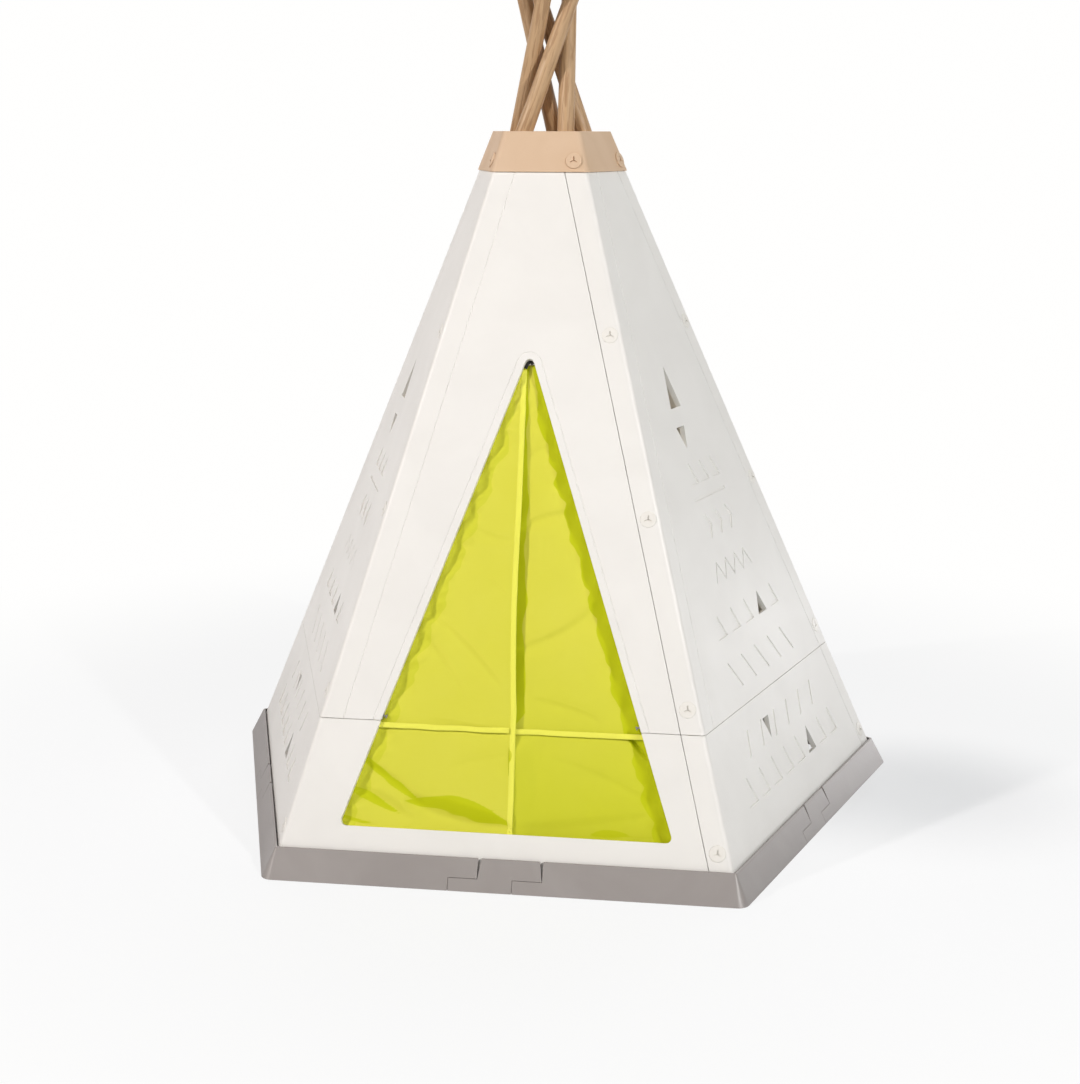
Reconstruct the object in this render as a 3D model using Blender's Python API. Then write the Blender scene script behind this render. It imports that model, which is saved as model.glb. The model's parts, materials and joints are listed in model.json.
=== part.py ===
"""Five-sided play teepee of moulded panels on a base rail, with a cloth door curtain.

Metres, +Z up, origin on the floor under the middle of the base's outline, door towards -Y.
"""
import math

import bmesh
import bpy
from mathutils import Matrix, Vector

for leftover in list(bpy.data.objects):
    bpy.data.objects.remove(leftover)

# Overall form
SIDES = 5
WALL_REACH = 0.655            # centre line to a wall corner at the rail's top
RAIL_FLARE = 0.040            # a base corner on the floor lies this much farther out
TOP_REACH = 0.1438            # centre line to a wall corner at the collar's lower edge
RAIL_HEIGHT = 0.050
WALL_HEIGHT = 1.119           # rail's top to collar's lower edge
SEAM_HEIGHT = 0.2057          # rail's top to the joint between lower and upper panels
FIT_GAP = 0.0003              # between pieces that rest on each other
OVERRUN = 0.004               # how far a cut runs past a surface

# Base rail
RAIL_WALL = 0.0037
RAIL_FLOOR = 0.004
RAIL_MOUTH = 0.0033           # open slot between the rail's lip and the panels
RAIL_CORNER = 0.022
RAIL_CORNER_STEPS = 8
UPSTAND_HEIGHT = 0.028
UPSTAND_WALL = 0.003

# Connector in the middle of each side, seen from outside
LINK_LOW_LEFT = 0.089
LINK_LOW_RIGHT = 0.020
LINK_HIGH_LEFT = 0.040
LINK_HIGH_RIGHT = 0.070
LINK_SPLIT_HEIGHT = 0.020
LINK_SLOT = 0.0055            # width of the open slot at the top of each upper end
LINK_SEAM = 0.0005

# Wall panels
WALL = 0.004
FLANGE = 0.040                # wraps round the corner onto the neighbour's side
PANEL_SEAM = 0.0012           # visible joint beside a flange and between panels
PANEL_CORNER = 0.009
PANEL_CORNER_STEPS = 5
TONGUE_CLEARANCE = 0.004      # tongue's end to the neighbour's inner surface
TUCK = 0.048                  # part of the upper panels under the collar
LAP = 0.020                   # lower panel's lip above and below the joint
LAP_END = 0.020               # lip's ends to the corners
RIM_DEPTH = 0.010             # return rim of a window or of the door, from the outer surface
RIM_WALL = 0.003
GROOVE_WIDTH = 0.002
GROOVE_DEPTH = 0.0010
RELIEF_DEPTH = 0.0025

# Screws
LOW_SCREW_RISE = 0.0260       # above the rail's top
SEAM_SCREW_RISE = 0.0399      # above the panels' joint
SCREW_PITCH = 0.2997          # between the upper panel's screws
UPPER_SCREWS = 3
COLLAR_SCREW_RISE = 0.018     # above the collar's lower edge
HEAD_RADIUS = 0.0140
HEAD_THICKNESS = 0.0026
SEAT_DEPTH = 0.0019
STEM_RADIUS = 0.0045
STEM_CLEARANCE = 0.0003
STEM_END = 0.0160             # depth of the stem's end below the wall's outer surface
BOSS_RADIUS = 0.0090
BOSS_DEPTH = 0.0150
SLOT_REACH = 0.0065
SLOT_WIDTH = 0.0026
SLOT_DEPTH = 0.0014
SCREW_SIDES = 10

# Door opening, along the front wall
DOOR_SILL = 0.0400            # above the rail's top
DOOR_RISE = 0.833             # sill to the point where the slanted edges would meet
DOOR_JAMB = 0.0904            # opening's foot corners to the wall's corners
DOOR_FOOT_RADIUS = 0.009
DOOR_PEAK_RADIUS = 0.008
DOOR_CORNER_STEPS = 4
DOOR_BORDER = 0.012           # groove round the opening

# Windows and recessed rows on the other walls, each a gap above the one below it
LINE_WIDTH = 0.005            # band and zigzag
SLANT_WIDTH = 0.007
SLANTS = {"gap": 0.0317, "rise": 0.050, "lean": -0.036, "pitch": 0.068, "count": 5}
PEAKS = {"gap": 0.043, "rise": 0.042, "width": 0.042, "pitch": 0.068, "count": 5}
ZIGZAG = {"gap": 0.046, "rise": 0.039, "length": 0.180, "count": 4}
DIAMONDS = {"gap": 0.039, "rise": 0.048, "width": 0.036, "pitch": 0.050, "count": 3}
BAND = {"gap": 0.025, "rise": LINE_WIDTH, "length": 0.150}
SHORT_PEAKS = {"gap": 0.024, "rise": 0.040, "width": 0.040, "pitch": 0.052, "count": 3}
DROP_WINDOW = {"gap": 0.024, "rise": 0.042, "width": 0.037, "middle": -0.036}
PEAK_WINDOW = {"gap": 0.035, "rise": 0.078, "width": 0.047, "middle": -0.028}
LOW_PEAKS = {"gap": 0.064, "rise": 0.050, "width": 0.042, "pitch": 0.064, "count": 8}
LOW_SLANTS = {"gap": 0.022, "rise": 0.044, "lean": 0.018, "pitch": 0.068, "count": 6}
LOW_DROP_WIDTH = 0.030        # hanging window between two slants
LOW_DROP_INSET = 0.002        # shorter than they are by this at each end
OPEN_PEAK = 3                 # place in its row of the peak that is cut through
OPEN_LOW_PEAK = 5

# Collar and pole tips
COLLAR_WALL = 0.003
COLLAR_HEIGHT = 0.070
COLLAR_LIP = 0.0003
POLE_RADIUS = 0.0155
POLE_END_RADIUS = 0.0130
POLE_SIDES = 16
POLE_RISE = 0.340             # above the collar
POLE_DROP = 0.022             # below the collar's top
POLE_WAIST = 0.140            # height above the collar at which the poles pass each other
POLE_PASS_GAP = 0.005         # between two poles where they pass
POLE_FAN_SHARE = 0.371        # sideways travel as a share of the height

# Door curtain
CLOTH = 0.0020
BEAD_RADIUS = 0.0015          # piping that the curtain folds on
BEAD_STEPS = 6
HEM_WIDTH = 0.022
HINGE_SETBACK = 0.0018        # fold line behind the door's edge
CURTAIN_DROP = 0.018          # below the sill
LEFT_HEAD_DROP = 0.034        # curtain's head below the opening's sharp peak
RIGHT_HEAD_DROP = 0.025
MIDDLE_GAP = 0.0010
SPLIT_FOOT = 0.0095           # where the halves meet, right of the door's middle, at the foot
SPLIT_HEAD = -0.0010          # and at the head
SAG = 0.010                   # how far the curtain hangs in behind its fold lines
SAG_RUN = 0.050
EDGE_LIFT = 0.010             # left half's free edge in front of the right half's
EDGE_RUN = 0.060
PUCKER_PITCH = 0.078
PUCKER_DEPTH = 0.0050
PUCKER_RUN = 0.034
FOLD_WIDTH = 0.016
FLAP_COLUMNS = 10
FLAP_ROWS = 28
STRAP_WIDTH = 0.011
STRAP_THICKNESS = 0.0012
STRAP_DROP = 0.006            # middle of the strap below the panels' joint
STRAP_GAP = 0.0006
STRAP_START = 0.010           # strap's end to the fold line
PEG_RISE = 0.010              # strap peg above the panels' joint
PEG_RADIUS = 0.0020
PEG_HEAD_RADIUS = 0.0036
PEG_LENGTH = 0.0070
PEG_HEAD_LENGTH = 0.0020
PEG_DEPTH = 0.0055
PEG_SIDES = 8

# Worked out from the sizes above
HALF_TURN = math.pi / SIDES
TURN = 2 * HALF_TURN
FRONT = -math.pi / 2
LEAN = math.atan((WALL_REACH - TOP_REACH) * math.cos(HALF_TURN) / WALL_HEIGHT)
COLLAR_FOOT = RAIL_HEIGHT + WALL_HEIGHT
COLLAR_TOP = COLLAR_FOOT + COLLAR_HEIGHT
TONGUE_DEPTH = WALL + FIT_GAP
TONGUE_BACK = TONGUE_DEPTH + WALL
FOOT_REACH = WALL_REACH + RAIL_FLARE
FOOT_APOTHEM = FOOT_REACH * math.cos(HALF_TURN)
REAR_REACH = FOOT_REACH - RAIL_CORNER * (1 / math.cos(HALF_TURN) - 1)
CENTRE_SHIFT = (FOOT_APOTHEM - REAR_REACH) / 2
PLACE = Matrix.Translation((0, CENTRE_SHIFT, 0))


# Geometry of the walls

def along(height):
    """Distance along the wall for a height above the rail's top."""
    return height / math.cos(LEAN)


def apothem(z, depth=0):
    """Centre line to a side's plane that lies a depth inside the wall's outer surface."""
    slope = (WALL_REACH - TOP_REACH) * math.cos(HALF_TURN) / WALL_HEIGHT
    outer = WALL_REACH * math.cos(HALF_TURN) - (z - RAIL_HEIGHT) * slope
    return outer - depth / math.cos(LEAN)


def half_side(z):
    return apothem(z) * math.tan(HALF_TURN)


def side_axes(side):
    """Outward normal and rightward direction of a side, seen from outside."""
    angle = FRONT + side * TURN
    normal = Vector((math.cos(angle), math.sin(angle)))
    return normal, Vector((-normal.y, normal.x))


def on_side(side, z, depth, from_middle):
    normal, right = side_axes(side)
    flat = normal * apothem(z, depth) + right * from_middle
    return Vector((flat.x, flat.y, z))


def crossing(z, side_a, depth_a, side_b, depth_b):
    """Point where two sides' inset planes meet at a height."""
    normal_a = side_axes(side_a)[0]
    normal_b = side_axes(side_b)[0]
    a = apothem(z, depth_a)
    b = apothem(z, depth_b)
    spread = normal_a.x * normal_b.y - normal_a.y * normal_b.x
    x = (a * normal_b.y - b * normal_a.y) / spread
    y = (b * normal_a.x - a * normal_b.x) / spread
    return Vector((x, y, z))


def corner_arc(z, distance, radius, steps, side=0):
    """Rounded corner at a side's left end, from the left neighbour round to the side."""
    corner = FRONT + side * TURN - HALF_TURN
    reach = (distance - radius) / math.cos(HALF_TURN)
    points = []
    for step in range(steps + 1):
        angle = corner - HALF_TURN + TURN * step / steps
        x = reach * math.cos(corner) + radius * math.cos(angle)
        y = reach * math.sin(corner) + radius * math.sin(angle)
        points.append(Vector((x, y, z)))
    return points


def front_frame():
    """Matrix from (right, up the wall, out of the wall) to space, for the front wall."""
    right = Vector((1, 0, 0))
    upward = Vector((0, math.sin(LEAN), math.cos(LEAN)))
    outward = Vector((0, -math.cos(LEAN), math.sin(LEAN)))
    foot = Vector((0, -apothem(RAIL_HEIGHT), RAIL_HEIGHT))
    return Matrix.Translation(foot) @ Matrix((right, upward, outward)).transposed().to_4x4()


FRAME = front_frame()


def turned_side(side):
    return Matrix.Rotation(side * TURN, 4, "Z")


def wall_half_width(distance):
    """Half the side's width at a distance up the wall."""
    return half_side(RAIL_HEIGHT + distance * math.cos(LEAN))


# Mesh helpers

def mesh_from(bm, name):
    bmesh.ops.recalc_face_normals(bm, faces=bm.faces)
    mesh = bpy.data.meshes.new(name)
    bm.to_mesh(mesh)
    bm.free()
    return mesh


def loft(sections, name="loft"):
    """Closed solid through sections with the same number of points."""
    bm = bmesh.new()
    rings = [[bm.verts.new(point) for point in section] for section in sections]
    count = len(rings[0])
    for low, high in zip(rings, rings[1:]):
        for i in range(count):
            j = (i + 1) % count
            bm.faces.new((low[i], low[j], high[j], high[i]))
    bm.faces.new(rings[0])
    bm.faces.new(rings[-1])
    return mesh_from(bm, name)


def prism(outline, near, far, matrix=FRAME):
    """Solid over an outline on the front wall, between two depths below its surface."""
    sections = []
    for depth in (near, far):
        sections.append([matrix @ Vector((x, y, -depth)) for x, y in outline])
    return loft(sections, "prism")


def turned(profile, segments, matrix):
    """Solid of revolution: (radius, height) pairs from one end to the other."""
    sections = []
    for radius, height in profile:
        ring = []
        for step in range(segments):
            angle = 2 * math.pi * (step + 0.5) / segments
            ring.append(matrix @ Vector((radius * math.cos(angle), radius * math.sin(angle), height)))
        sections.append(ring)
    return loft(sections, "turned")


def gather(meshes):
    """One mesh that holds several separate solids."""
    bm = bmesh.new()
    for mesh in meshes:
        bm.from_mesh(mesh)
    return mesh_from(bm, "gathered")


def boolean(mesh, tools, operation):
    """Mesh after one Boolean with all the tools, which may overlap each other."""
    body = bpy.data.objects.new("body", mesh)
    tool = bpy.data.objects.new("tool", gather(tools))
    for item in (body, tool):
        bpy.context.scene.collection.objects.link(item)
    modifier = body.modifiers.new("shape", "BOOLEAN")
    modifier.operation = operation
    modifier.use_self = True
    modifier.object = tool
    depsgraph = bpy.context.evaluated_depsgraph_get()
    result = bpy.data.meshes.new_from_object(body.evaluated_get(depsgraph))
    for item in (body, tool):
        bpy.data.objects.remove(item)
    return result


def rounded(corners, radii, steps):
    """Outline of a convex polygon with an arc in each corner, corners counterclockwise."""
    points = []
    count = len(corners)
    for i, (corner, radius) in enumerate(zip(corners, radii)):
        middle = Vector(corner)
        before = (Vector(corners[i - 1]) - middle).normalized()
        after = (Vector(corners[(i + 1) % count]) - middle).normalized()
        half = before.angle(after) / 2
        centre = middle + (before + after).normalized() * radius / math.sin(half)
        start = middle + before * radius / math.tan(half) - centre
        end = middle + after * radius / math.tan(half) - centre
        first = math.atan2(start.y, start.x)
        sweep = (math.atan2(end.y, end.x) - first) % (2 * math.pi)
        for step in range(steps + 1):
            angle = first + sweep * step / steps
            points.append((centre.x + radius * math.cos(angle), centre.y + radius * math.sin(angle)))
    return points


def grown(outline, distance):
    """Convex counterclockwise outline moved outward by a distance."""
    points = []
    count = len(outline)
    for i, (x, y) in enumerate(outline):
        before = Vector((x, y)) - Vector(outline[i - 1])
        after = Vector(outline[(i + 1) % count]) - Vector((x, y))
        out_a = Vector((before.y, -before.x)).normalized()
        out_b = Vector((after.y, -after.x)).normalized()
        push = (out_a + out_b) / (1 + out_a.dot(out_b)) * distance
        points.append((x + push.x, y + push.y))
    return points


# Objects and materials

def finish(name, colour, roughness):
    material = bpy.data.materials.new(name)
    material.use_nodes = True
    shader = material.node_tree.nodes["Principled BSDF"]
    shader.inputs["Base Color"].default_value = (*colour, 1)
    shader.inputs["Roughness"].default_value = roughness
    shader.inputs["Metallic"].default_value = 0
    return material


WHITE = finish("white_panel_plastic", (0.86, 0.84, 0.80), 0.45)
SCREW_WHITE = finish("white_screw_plastic", (0.84, 0.82, 0.78), 0.40)
GREY = finish("grey_rail_plastic", (0.33, 0.30, 0.28), 0.50)
BEIGE = finish("beige_collar_plastic", (0.70, 0.49, 0.29), 0.50)
POLE = finish("pole_plastic", (0.62, 0.43, 0.25), 0.55)
LIME = finish("lime_curtain_cloth", (0.66, 0.66, 0.06), 0.85)
BINDING = finish("light_strap_cloth", (0.80, 0.82, 0.10), 0.80)
PEG = finish("dark_peg_plastic", (0.05, 0.05, 0.05), 0.45)


def place(name, mesh, material, matrix=None, smooth=None):
    """One named piece, at its place about the centre line unless a matrix moves it."""
    mesh.materials.clear()
    mesh.materials.append(material)
    if smooth:
        mesh.shade_smooth()
        mesh.set_sharp_from_angle(angle=smooth)
    piece = bpy.data.objects.new(name, mesh)
    piece.matrix_world = PLACE @ (matrix or Matrix.Identity(4))
    bpy.context.scene.collection.objects.link(piece)
    return piece


SOFT_EDGE = math.radians(40)
PLACES = ("front", "right", "rear_right", "rear_left", "left")


# Base rail

def rail_profile():
    """Rail's section as (distance from the centre line, height), round from the outer foot."""
    lip_out = apothem(RAIL_HEIGHT) + RAIL_MOUTH + RAIL_WALL
    slope = (FOOT_APOTHEM - lip_out) / RAIL_HEIGHT
    floor_out = FOOT_APOTHEM - RAIL_FLOOR * slope - RAIL_WALL
    back = TONGUE_BACK + FIT_GAP
    return [
        (FOOT_APOTHEM, 0),
        (lip_out, RAIL_HEIGHT),
        (lip_out - RAIL_WALL, RAIL_HEIGHT),
        (floor_out, RAIL_FLOOR),
        (apothem(RAIL_FLOOR, back), RAIL_FLOOR),
        (apothem(UPSTAND_HEIGHT, back), UPSTAND_HEIGHT),
        (apothem(UPSTAND_HEIGHT, back + UPSTAND_WALL), UPSTAND_HEIGHT),
        (apothem(0, back + UPSTAND_WALL), 0),
    ]


def rail_section(from_middle, side):
    normal, right = side_axes(side)
    points = []
    for distance, z in rail_profile():
        flat = normal * distance + right * from_middle
        points.append(Vector((flat.x, flat.y, z)))
    return points


def link_outline(slack=0, slot=0):
    """Connector's outline seen from outside, drawn in by a slack, with slanted upper ends."""
    top = RAIL_HEIGHT + OVERRUN
    return [
        (-LINK_LOW_LEFT + slack, -OVERRUN),
        (LINK_LOW_RIGHT - slack, -OVERRUN),
        (LINK_LOW_RIGHT - slack, LINK_SPLIT_HEIGHT + slack),
        (LINK_HIGH_RIGHT - slack, LINK_SPLIT_HEIGHT + slack),
        (LINK_HIGH_RIGHT - slack - slot, top),
        (-LINK_HIGH_LEFT + slack + slot, top),
        (-LINK_HIGH_LEFT + slack, LINK_SPLIT_HEIGHT - slack),
        (-LINK_LOW_LEFT + slack, LINK_SPLIT_HEIGHT - slack),
    ]


def side_block(outline, side=0):
    """Upright solid over an outline seen from outside, deep enough to span the rail."""
    near = -FOOT_REACH
    far = RAIL_HEIGHT - apothem(RAIL_HEIGHT, TONGUE_BACK)
    turn = turned_side(side)
    sections = [[turn @ Vector((x, y, z)) for x, z in outline] for y in (near, far)]
    return loft(sections)


def rail_link():
    """Z-shaped connector on the front side."""
    reach = LINK_LOW_LEFT + LINK_HIGH_RIGHT
    bar = loft([rail_section(-reach, 0), rail_section(reach, 0)])
    return boolean(bar, [side_block(link_outline(LINK_SEAM, LINK_SLOT))], "INTERSECT")


def rail_corner():
    """Corner piece from the left neighbour's connector to the front side's."""
    arcs = []
    for distance, z in rail_profile():
        radius = max(RAIL_CORNER - (FOOT_APOTHEM - distance), RAIL_WALL)
        arcs.append(corner_arc(z, distance, radius, RAIL_CORNER_STEPS))
    stations = [rail_section(0, -1)]
    for step in range(RAIL_CORNER_STEPS + 1):
        stations.append([arc[step] for arc in arcs])
    stations.append(rail_section(0, 0))
    bar = loft(stations)
    for side in (-1, 0):
        bar = boolean(bar, [side_block(link_outline(), side)], "DIFFERENCE")
    return bar


# Wall panels

def panel_section(z):
    """Level section of the front side's panel, round from its left flange's free edge."""
    tip = half_side(z) - FLANGE
    edge = tip - PANEL_SEAM
    joggle = edge - WALL
    end = WALL + TONGUE_CLEARANCE
    inner_radius = PANEL_CORNER - WALL
    return [
        on_side(-1, z, 0, tip),
        *corner_arc(z, apothem(z), PANEL_CORNER, PANEL_CORNER_STEPS),
        on_side(0, z, 0, edge),
        on_side(0, z, TONGUE_DEPTH, edge),
        crossing(z, 0, TONGUE_DEPTH, 1, end),
        crossing(z, 0, TONGUE_BACK, 1, end),
        on_side(0, z, TONGUE_BACK, joggle),
        on_side(0, z, WALL, joggle),
        *reversed(corner_arc(z, apothem(z, WALL), inner_radius, PANEL_CORNER_STEPS)),
        on_side(-1, z, WALL, tip),
    ]


LOWER_FOOT = RAIL_FLOOR + FIT_GAP
LOWER_TOP = RAIL_HEIGHT + SEAM_HEIGHT
UPPER_FOOT = LOWER_TOP + PANEL_SEAM
UPPER_TOP = COLLAR_FOOT + TUCK
SEAM = along(SEAM_HEIGHT)
SCREW_HEIGHTS = [LOW_SCREW_RISE]
SCREW_HEIGHTS += [SEAM_HEIGHT + SEAM_SCREW_RISE + SCREW_PITCH * i for i in range(UPPER_SCREWS)]
COLLAR_SCREW_HEIGHT = WALL_HEIGHT + COLLAR_SCREW_RISE


def screw_matrix(height, side=0):
    """Place of a screw on the flange over a side's right end, its axis out of the wall."""
    from_middle = half_side(RAIL_HEIGHT + height) - FLANGE / 2
    spot = Matrix.Translation((from_middle, along(height), 0))
    return turned_side(side) @ FRAME @ spot


def add_screw_places(panel, heights, collar_heights):
    """Bosses and holes in the tongue, holes and head seats in the flange."""
    hole = STEM_RADIUS + STEM_CLEARANCE
    seat = HEAD_RADIUS + STEM_CLEARANCE
    bosses = []
    holes = []
    for height in heights + collar_heights:
        tongue = screw_matrix(height)
        boss = [(BOSS_RADIUS, -BOSS_DEPTH), (BOSS_RADIUS, -TONGUE_BACK + WALL / 2)]
        bosses.append(turned(boss, SCREW_SIDES, tongue))
        through = [(hole, -BOSS_DEPTH - OVERRUN), (hole, OVERRUN)]
        holes.append(turned(through, SCREW_SIDES, tongue))
        flange = screw_matrix(height, -1)
        if height in collar_heights:
            profile = [(hole, -WALL - OVERRUN), (hole, OVERRUN)]
        else:
            profile = [(hole, -WALL - OVERRUN), (hole, -SEAT_DEPTH), (seat, -SEAT_DEPTH), (seat, OVERRUN)]
        holes.append(turned(profile, SCREW_SIDES, flange))
    panel = boolean(panel, bosses, "UNION")
    return boolean(panel, holes, "DIFFERENCE")


def lap_lip(start, end):
    """Lip of a lower panel that stands behind the upper panel's foot."""
    step = SEAM - WALL
    outline = [
        (SEAM - LAP, WALL / 2),
        (step, WALL / 2),
        (step, TONGUE_DEPTH),
        (SEAM + LAP, TONGUE_DEPTH),
        (SEAM + LAP, TONGUE_BACK),
        (SEAM - LAP, TONGUE_BACK),
    ]
    return loft([[FRAME @ Vector((x, y, -depth)) for y, depth in outline] for x in (start, end)])


def lap_ends():
    """Left and right ends of the lip, clear of the corners and of the tongue."""
    half = wall_half_width(SEAM + LAP)
    return LAP_END - half, half - FLANGE - PANEL_SEAM - 2 * WALL


# Windows and recessed shapes, as outlines on the wall

def set_feet(rows, level):
    """Gives each row its foot, a gap above the top of the row below it."""
    for row in rows:
        row["foot"] = level + row["gap"]
        level = row["foot"] + row["rise"]


set_feet((SLANTS, PEAKS, ZIGZAG, DIAMONDS, BAND, SHORT_PEAKS, DROP_WINDOW, PEAK_WINDOW), SEAM)
set_feet((LOW_PEAKS, LOW_SLANTS), 0)


def peak(middle, foot, width, rise):
    return [(middle - width / 2, foot), (middle + width / 2, foot), (middle, foot + rise)]


def drop(middle, foot, width, rise):
    return [(middle, foot), (middle + width / 2, foot + rise), (middle - width / 2, foot + rise)]


def diamond(middle, foot, width, rise):
    centre = foot + rise / 2
    return [(middle, foot), (middle + width / 2, centre), (middle, foot + rise), (middle - width / 2, centre)]


def slant(middle, foot, lean, rise):
    low = middle - lean / 2
    high = middle + lean / 2
    half = SLANT_WIDTH / 2
    return [(low - half, foot), (low + half, foot), (high + half, foot + rise), (high - half, foot + rise)]


def middles(row):
    return [(i - (row["count"] - 1) / 2) * row["pitch"] for i in range(row["count"])]


def row_of(shape, row, across):
    return [shape(middle, row["foot"], row[across], row["rise"]) for middle in middles(row)]


def band(row):
    half = row["length"] / 2
    top = row["foot"] + LINE_WIDTH
    return [(-half, row["foot"]), (half, row["foot"]), (half, top), (-half, top)]


def zigzag(row):
    """Line that climbs and falls between the row's foot and its top."""
    turns = 2 * row["count"]
    climb = row["rise"] - LINE_WIDTH
    places = []
    for i in range(turns + 1):
        x = row["length"] * (i / turns - 1 / 2)
        places.append((x, row["foot"] + (climb if i % 2 else 0)))
    return places + [(x, y + LINE_WIDTH) for x, y in reversed(places)]


def add_windows(panel, outlines):
    """Openings through the wall, each with a rim behind it."""
    rims = [prism(grown(outline, RIM_WALL), WALL / 2, RIM_DEPTH) for outline in outlines]
    cuts = [prism(outline, -OVERRUN, RIM_DEPTH + OVERRUN) for outline in outlines]
    return boolean(boolean(panel, rims, "UNION"), cuts, "DIFFERENCE")


def add_recesses(panel, outlines, depth):
    return boolean(panel, [prism(outline, -OVERRUN, depth) for outline in outlines], "DIFFERENCE")


def mirror_groove():
    """Groove that mirrors the flange's edge on the panel's left part."""
    outline = []
    for distance, sides in ((SEAM - OVERRUN, (-1, 1)), (along(WALL_HEIGHT + TUCK) + OVERRUN, (1, -1))):
        for side in sides:
            x = FLANGE - wall_half_width(distance) + (side + 1) * GROOVE_WIDTH / 2
            outline.append((x, distance))
    return prism(outline, -OVERRUN, GROOVE_DEPTH)


def lower_panel():
    panel = loft([panel_section(LOWER_FOOT), panel_section(LOWER_TOP)])
    panel = boolean(panel, [lap_lip(*lap_ends())], "UNION")
    panel = add_screw_places(panel, SCREW_HEIGHTS[:1], [])
    peaks = row_of(peak, LOW_PEAKS, "width")
    opened = peaks.pop(OPEN_LOW_PEAK)
    foot = LOW_SLANTS["foot"] + LOW_DROP_INSET
    hanging = drop(-LOW_SLANTS["pitch"], foot, LOW_DROP_WIDTH, LOW_SLANTS["rise"] - 2 * LOW_DROP_INSET)
    panel = add_recesses(panel, peaks + row_of(slant, LOW_SLANTS, "lean"), RELIEF_DEPTH)
    return add_windows(panel, [opened, hanging])


def plain_upper_panel():
    panel = loft([panel_section(UPPER_FOOT), panel_section(UPPER_TOP)])
    panel = add_screw_places(panel, SCREW_HEIGHTS[1:], [COLLAR_SCREW_HEIGHT])
    return boolean(panel, [mirror_groove()], "DIFFERENCE")


def upper_panel():
    panel = plain_upper_panel()
    peaks = row_of(peak, PEAKS, "width")
    opened = peaks.pop(OPEN_PEAK)
    recesses = peaks + row_of(peak, SHORT_PEAKS, "width") + row_of(diamond, DIAMONDS, "width")
    recesses += row_of(slant, SLANTS, "lean") + [band(BAND), zigzag(ZIGZAG)]
    panel = add_recesses(panel, recesses, RELIEF_DEPTH)
    tall = peak(PEAK_WINDOW["middle"], PEAK_WINDOW["foot"], PEAK_WINDOW["width"], PEAK_WINDOW["rise"])
    hanging = drop(DROP_WINDOW["middle"], DROP_WINDOW["foot"], DROP_WINDOW["width"], DROP_WINDOW["rise"])
    return add_windows(panel, [opened, tall, hanging])


# Front panels with the door opening

DOOR_WIDTH = 2 * (wall_half_width(DOOR_SILL) - DOOR_JAMB)
DOOR_PEAK = DOOR_SILL + DOOR_RISE
DOOR_EDGE = Vector((DOOR_WIDTH / 2, DOOR_RISE)).normalized()


def door_half(distance):
    """Half the opening's width at a distance up the wall, corners left sharp."""
    return DOOR_WIDTH / 2 * (DOOR_PEAK - distance) / DOOR_RISE


def door_outline(margin=0):
    corners = [(-DOOR_WIDTH / 2, DOOR_SILL), (DOOR_WIDTH / 2, DOOR_SILL), (0, DOOR_PEAK)]
    radii = [DOOR_FOOT_RADIUS + margin, DOOR_FOOT_RADIUS + margin, DOOR_PEAK_RADIUS + margin]
    return rounded(grown(corners, margin), radii, DOOR_CORNER_STEPS)


def clipped(outline, level, above):
    """Part of a convex outline above or below a level."""
    kept = []
    sign = 1 if above else -1
    for i, (x, y) in enumerate(outline):
        last_x, last_y = outline[i - 1]
        if (y - level) * (last_y - level) < 0:
            share = (level - last_y) / (y - last_y)
            kept.append((last_x + (x - last_x) * share, level))
        if sign * (y - level) >= 0:
            kept.append((x, y))
    return kept


def cut_door(panel):
    return boolean(panel, [prism(door_outline(), -OVERRUN, RIM_DEPTH + OVERRUN)], "DIFFERENCE")


def front_lower_panel():
    panel = loft([panel_section(LOWER_FOOT), panel_section(LOWER_TOP)])
    start, end = lap_ends()
    beside_door = door_half(SEAM - LAP) + RIM_WALL + WALL
    lips = [lap_lip(start, -beside_door), lap_lip(beside_door, end)]
    rim = clipped(door_outline(RIM_WALL), SEAM - PANEL_SEAM, False)
    panel = boolean(panel, [*lips, prism(rim, WALL / 2, RIM_DEPTH)], "UNION")
    return cut_door(add_screw_places(panel, SCREW_HEIGHTS[:1], []))


def front_upper_panel():
    panel = plain_upper_panel()
    start = SEAM + WALL * math.tan(LEAN) + PANEL_SEAM
    rim = clipped(door_outline(RIM_WALL), start, True)
    panel = boolean(panel, [prism(rim, WALL / 2, RIM_DEPTH)], "UNION")
    outer = clipped(door_outline(DOOR_BORDER + GROOVE_WIDTH), SEAM - OVERRUN, True)
    inner = clipped(door_outline(DOOR_BORDER), SEAM - OVERRUN - WALL, True)
    border = prism(outer, -OVERRUN, GROOVE_DEPTH)
    border = boolean(border, [prism(inner, -WALL - OVERRUN, WALL)], "DIFFERENCE")
    return cut_door(boolean(panel, [border], "DIFFERENCE"))


# Screws

def slot_star():
    """Outline of the three-armed recess in a screw's head."""
    points = []
    half = SLOT_WIDTH / 2
    for arm in range(3):
        angle = math.pi / 2 + arm * 2 * math.pi / 3
        ahead = Vector((math.cos(angle), math.sin(angle)))
        across = Vector((-ahead.y, ahead.x))
        points.append(ahead * SLOT_REACH - across * half)
        points.append(ahead * SLOT_REACH + across * half)
        crotch = angle + math.pi / 3
        points.append(Vector((math.cos(crotch), math.sin(crotch))) * SLOT_WIDTH / math.sqrt(3))
    return [tuple(point) for point in points]


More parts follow.
